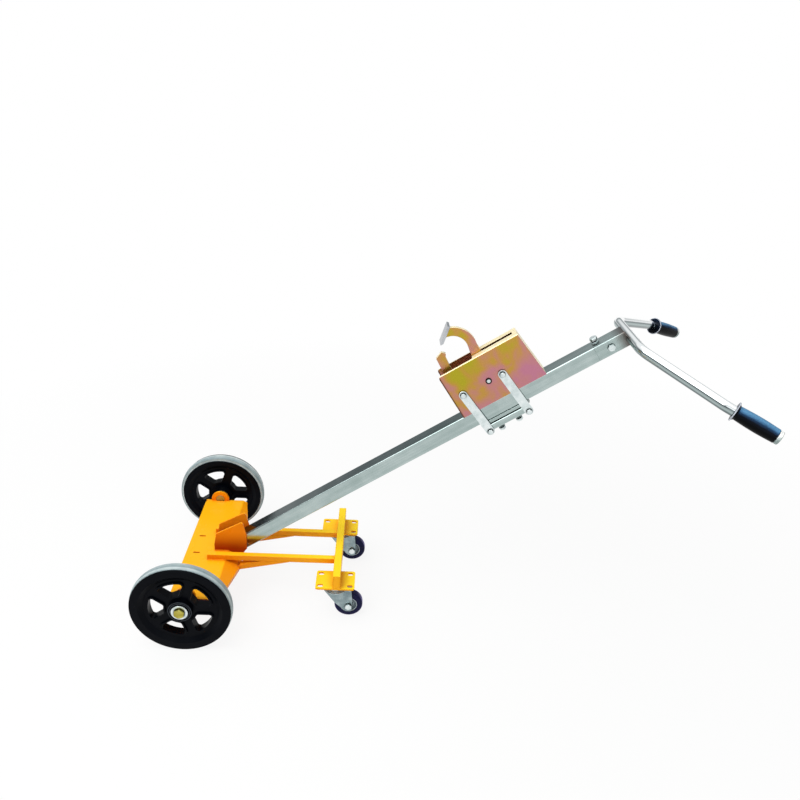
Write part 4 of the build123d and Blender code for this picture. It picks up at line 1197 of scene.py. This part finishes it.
hub_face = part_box("right_wheel_rim")[1].y / MM
hub_ring_radii = ((23.2, 24.4), (27.6, 28.8))
core_face = caster_half - 1
core_web = 7
core_rings = ((core_face, caster_bore - 2.4, caster_bore - 0.8), (core_web, 13.2, 14.2))
for name, side in sides:
    rings = []
    centre = Vector((axle.x, side * hub_face * MM, axle.z))
    for k, (inner, outer) in enumerate(hub_ring_radii):
        section = ring_section(low=-0.4, high=0.9, inner=inner, outer=outer)
        rings.append(turned(f"{name}_ring_{k}", section, centre, side * across, 96))
    dress(join(rings, f"{name}_hub_rings"), f"{name}_wheel", painted_highlight_nylon)
for name, side in sides:
    rings = []
    for k, (seat, inner, outer) in enumerate(core_rings):
        section = ring_section(low=-0.6, high=0.7, inner=inner, outer=outer)
        for face in (-1, 1):
            centre = middle_of(f"{name}_caster_core") + face * seat * MM * across
            rings.append(turned(f"{name}_core_ring_{k}_{face}", section, centre, face * across, 64))
    dress(join(rings, f"{name}_core_rings"), f"{name}_caster_wheel", painted_highlight_grey)
print("thread rings", thread_rings, "a screw")

# %% [markdown]
# The frame is welded, and its beads show under the paint as rows of small overlapping scales. A bead
# follows a seam, so Geometry Nodes resample each seam to even steps and put a flattened, slightly uneven
# drop on each. The drops have few faces, because there are hundreds of them.

# %% Weld beads
smallest_drop = 0.86
largest_drop = 1.08
drop_length = 0.85
step_share = 0.62
weld_seed = 7
weld_tree, weld_inputs = new_tree("weld_bead", ["Width", "Step"])
seam = add_node(weld_tree, "GeometryNodeMeshToCurve", {"Mesh": weld_inputs["Geometry"]})
even = add_node(
    weld_tree, "GeometryNodeResampleCurve", {"mode": "LENGTH", "Curve": seam, "Length": weld_inputs["Step"]}
)
drop = add_node(weld_tree, "GeometryNodeMeshUVSphere", {"Segments": 8, "Rings": 6, "Radius": 1.0})
smooth_drop = add_node(weld_tree, "GeometryNodeSetShadeSmooth", {"Geometry": drop})
tangent = add_node(weld_tree, "GeometryNodeInputTangent")
lie = add_node(weld_tree, "FunctionNodeAlignRotationToVector", {"axis": "X", "Vector": tangent})
uneven_size = add_node(
    weld_tree, "FunctionNodeRandomValue",
    {"data_type": "FLOAT", 2: smallest_drop, 3: largest_drop, "Seed": weld_seed},
).outputs[1]
width = add_node(weld_tree, "Math", {"operation": "MULTIPLY", 0: uneven_size, 1: weld_inputs["Width"]})
short = add_node(weld_tree, "Math", {"operation": "MULTIPLY", 0: width, 1: drop_length})
drop_size = add_node(weld_tree, "CombineXYZ", {"X": short, "Y": width, "Z": width})
beads = add_node(
    weld_tree, "GeometryNodeInstanceOnPoints",
    {"Points": even, "Instance": smooth_drop, "Rotation": lie, "Scale": drop_size},
)
end_tree(weld_tree, beads, weld_inputs["Material"])


def weld(name, seams, bead, slot):
    """Lay a bead along seams on the frame."""
    finish = finish_of[slot]
    piece = new_piece(name, route_mesh(f"{name}_seams", seams))
    grow(piece, weld_tree, {"Width": bead * MM, "Step": step_share * bead * MM, "Material": finish})
    return dress(piece, "frame", finish)


base_bend = 68
base_fold = radians(28)
cheek_side = 25
cheek_front = 34
cheek_heel = 99
stringer_offset = 58
stringer_half = 8
stringer_front = 21
stringer_top = base_top + 2 * stringer_half
cross_low, cross_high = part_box("cross_bar")
bar_front = (cross_low.x - axle.x) / MM
bar_back = (cross_high.x - axle.x) / MM
plate_low, plate_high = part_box("right_caster_plate")
plate_top = plate_high.z / MM
weld_inset = 3
plate_weld = (plate_low.y / MM + weld_inset, plate_high.y / MM - weld_inset)
brace_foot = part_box("right_brace")[0]
brace_weld = (2, 14)


def base_surface(x):
    """Height of the folded base plate's upper face, x behind the axle."""
    return base_top - max(0, x - base_bend) * tan(base_fold)


seams = []
for name, side in sides:
    y = side * cheek_side
    seams.append([from_axle(x, y, base_surface(x)) for x in (cheek_front, base_bend, cheek_heel)])
    stringer_sides = [side * stringer_offset + edge * stringer_half for edge in (-1, 1)]
    for y in stringer_sides:
        seams.append([from_axle(x, y, base_top) for x in (stringer_front, base_bend)])
        seams.append([from_axle(bar_front, y, z) for z in (base_top, stringer_top)])
        seams.append([Vector((brace_foot.x, y * MM, brace_foot.z + rise * MM)) for rise in brace_weld])
    seams.append([from_axle(bar_front, y, stringer_top) for y in stringer_sides])
    for x in (bar_front, bar_back):
        seams.append([from_axle(x, side * y, plate_top) for y in plate_weld])
weld("frame_welds", seams, bead=2.0, slot="yellow_paint")

saddle_weld_place = mast_end_place + 80
saddle_weld_half = 17
saddle_weld_heights = (-14.4, -33.6)
saddle_seams = [
    [on_head(saddle_weld_place, height, end * saddle_weld_half) for end in (-1, 1)]
    for height in saddle_weld_heights
]
weld("handle_weld", saddle_seams, bead=2.2, slot="zinc_tube")
print("welded", len(seams) + len(saddle_seams), "seams")

# %% [markdown]
# The stage is a plain pale floor. The camera and the reflections see it nearly white, and it keeps a soft
# shadow under the trolley. Further out it fades to plain white, so that no horizon shows.

# %% Floor
def background_rays(tree):
    """1 for the rays that see the backdrop: from the camera, a mirror or through glass."""
    rays = add_node(tree, "LightPath").outputs
    seen = {"operation": "MAXIMUM", 0: rays["Is Camera Ray"], 1: rays["Is Glossy Ray"]}
    direct = add_node(tree, "Math", seen)
    through = {"operation": "MAXIMUM", 0: direct, 1: rays["Is Transmission Ray"]}
    return add_node(tree, "Math", through)


floor_size = 30
half = floor_size / 2
floor_mesh = bpy.data.meshes.new("floor")
floor_mesh.from_pydata(
    [(-half, -half, 0), (half, -half, 0), (half, half, 0), (-half, half, 0)], [], [(0, 1, 2, 3)]
)
floor = new_piece("floor", floor_mesh)
material, tree, coords = new_material("pale_floor")
distance = add_node(tree, "VectorMath", {"operation": "LENGTH", 0: coords}).outputs["Value"]
fade = add_node(
    tree, "MapRange", {"From Min": 0.6, "From Max": 2.0, "To Min": 0.87, "To Max": 1.0, "Value": distance}
)
share = add_node(tree, "Math", {"operation": "MULTIPLY", 0: fade, 1: background_rays(tree)})
paint = add_node(tree, "BsdfDiffuse", {"Color": "#E9E9E7"})
glow = add_node(tree, "Emission", {"Color": "#FFFFFF", "Strength": 1.0})
mixed = add_node(tree, "MixShader", {0: share, 1: paint, 2: glow})
add_node(tree, "OutputMaterial", {"Surface": mixed})
floor.data.materials.append(material)
print("floor", floor_size, "m wide")

# %% [markdown]
# The studio has a white lower wall and ceiling, and a grey band between them. Metal needs that change: in a
# room that is white all round, a polished tube would look like white plastic. The camera itself sees a plain
# white backdrop. The main lamp hangs in front of the trolley and to the operator's left, so that faces that
# fall away to the rear are darker.

# %% Room and lamps
world = bpy.data.worlds.new("studio")
scene.world = world
world.use_nodes = True
tree = world.node_tree
tree.nodes.clear()
direction = add_node(tree, "TexCoord").outputs["Generated"]
height = add_node(tree, "SeparateXYZ", {"Vector": direction}).outputs["Z"]
wall_stops = [(0.07, "#FFFFFF"), (0.14, "#9DA3A5"), (0.3, "#989FA1"), (0.46, "#F4F6F7")]
walls = add_node(tree, "ValToRGB", {"stops": wall_stops, "Fac": height})
eye = add_node(tree, "LightPath").outputs["Is Camera Ray"]
backdrop = add_node(tree, "Mix", {"data_type": "RGBA", 0: eye, 6: walls, 7: "#FFFFFF"}).outputs[2]
strength = add_node(tree, "MapRange", {"To Min": 0.5, "To Max": 1.0, "Value": background_rays(tree)})
room = add_node(tree, "Background", {"Color": backdrop, "Strength": strength})
add_node(tree, "OutputWorld", {"Surface": room})


def softbox(name, place, size, power):
    """A square area lamp that faces the middle of the trolley."""
    lamp = bpy.data.lights.new(name, "AREA")
    lamp.size = size
    lamp.energy = power
    box = bpy.data.objects.new(name, lamp)
    box.location = place
    box.rotation_euler = (lamp_target - Vector(place)).to_track_quat("-Z", "Y").to_euler()
    scene.collection.objects.link(box)


lamp_target = Vector((0, 0, 0.4))
softbox("front_left", (-1.6, -1.0, 2.9), size=3.0, power=92)
softbox("overhead", (0.3, 0.0, 3.2), size=3.0, power=16)
softbox("near_side", (0.4, -3.0, 1.4), size=2.4, power=14)
scene.view_settings.view_transform = "Standard"
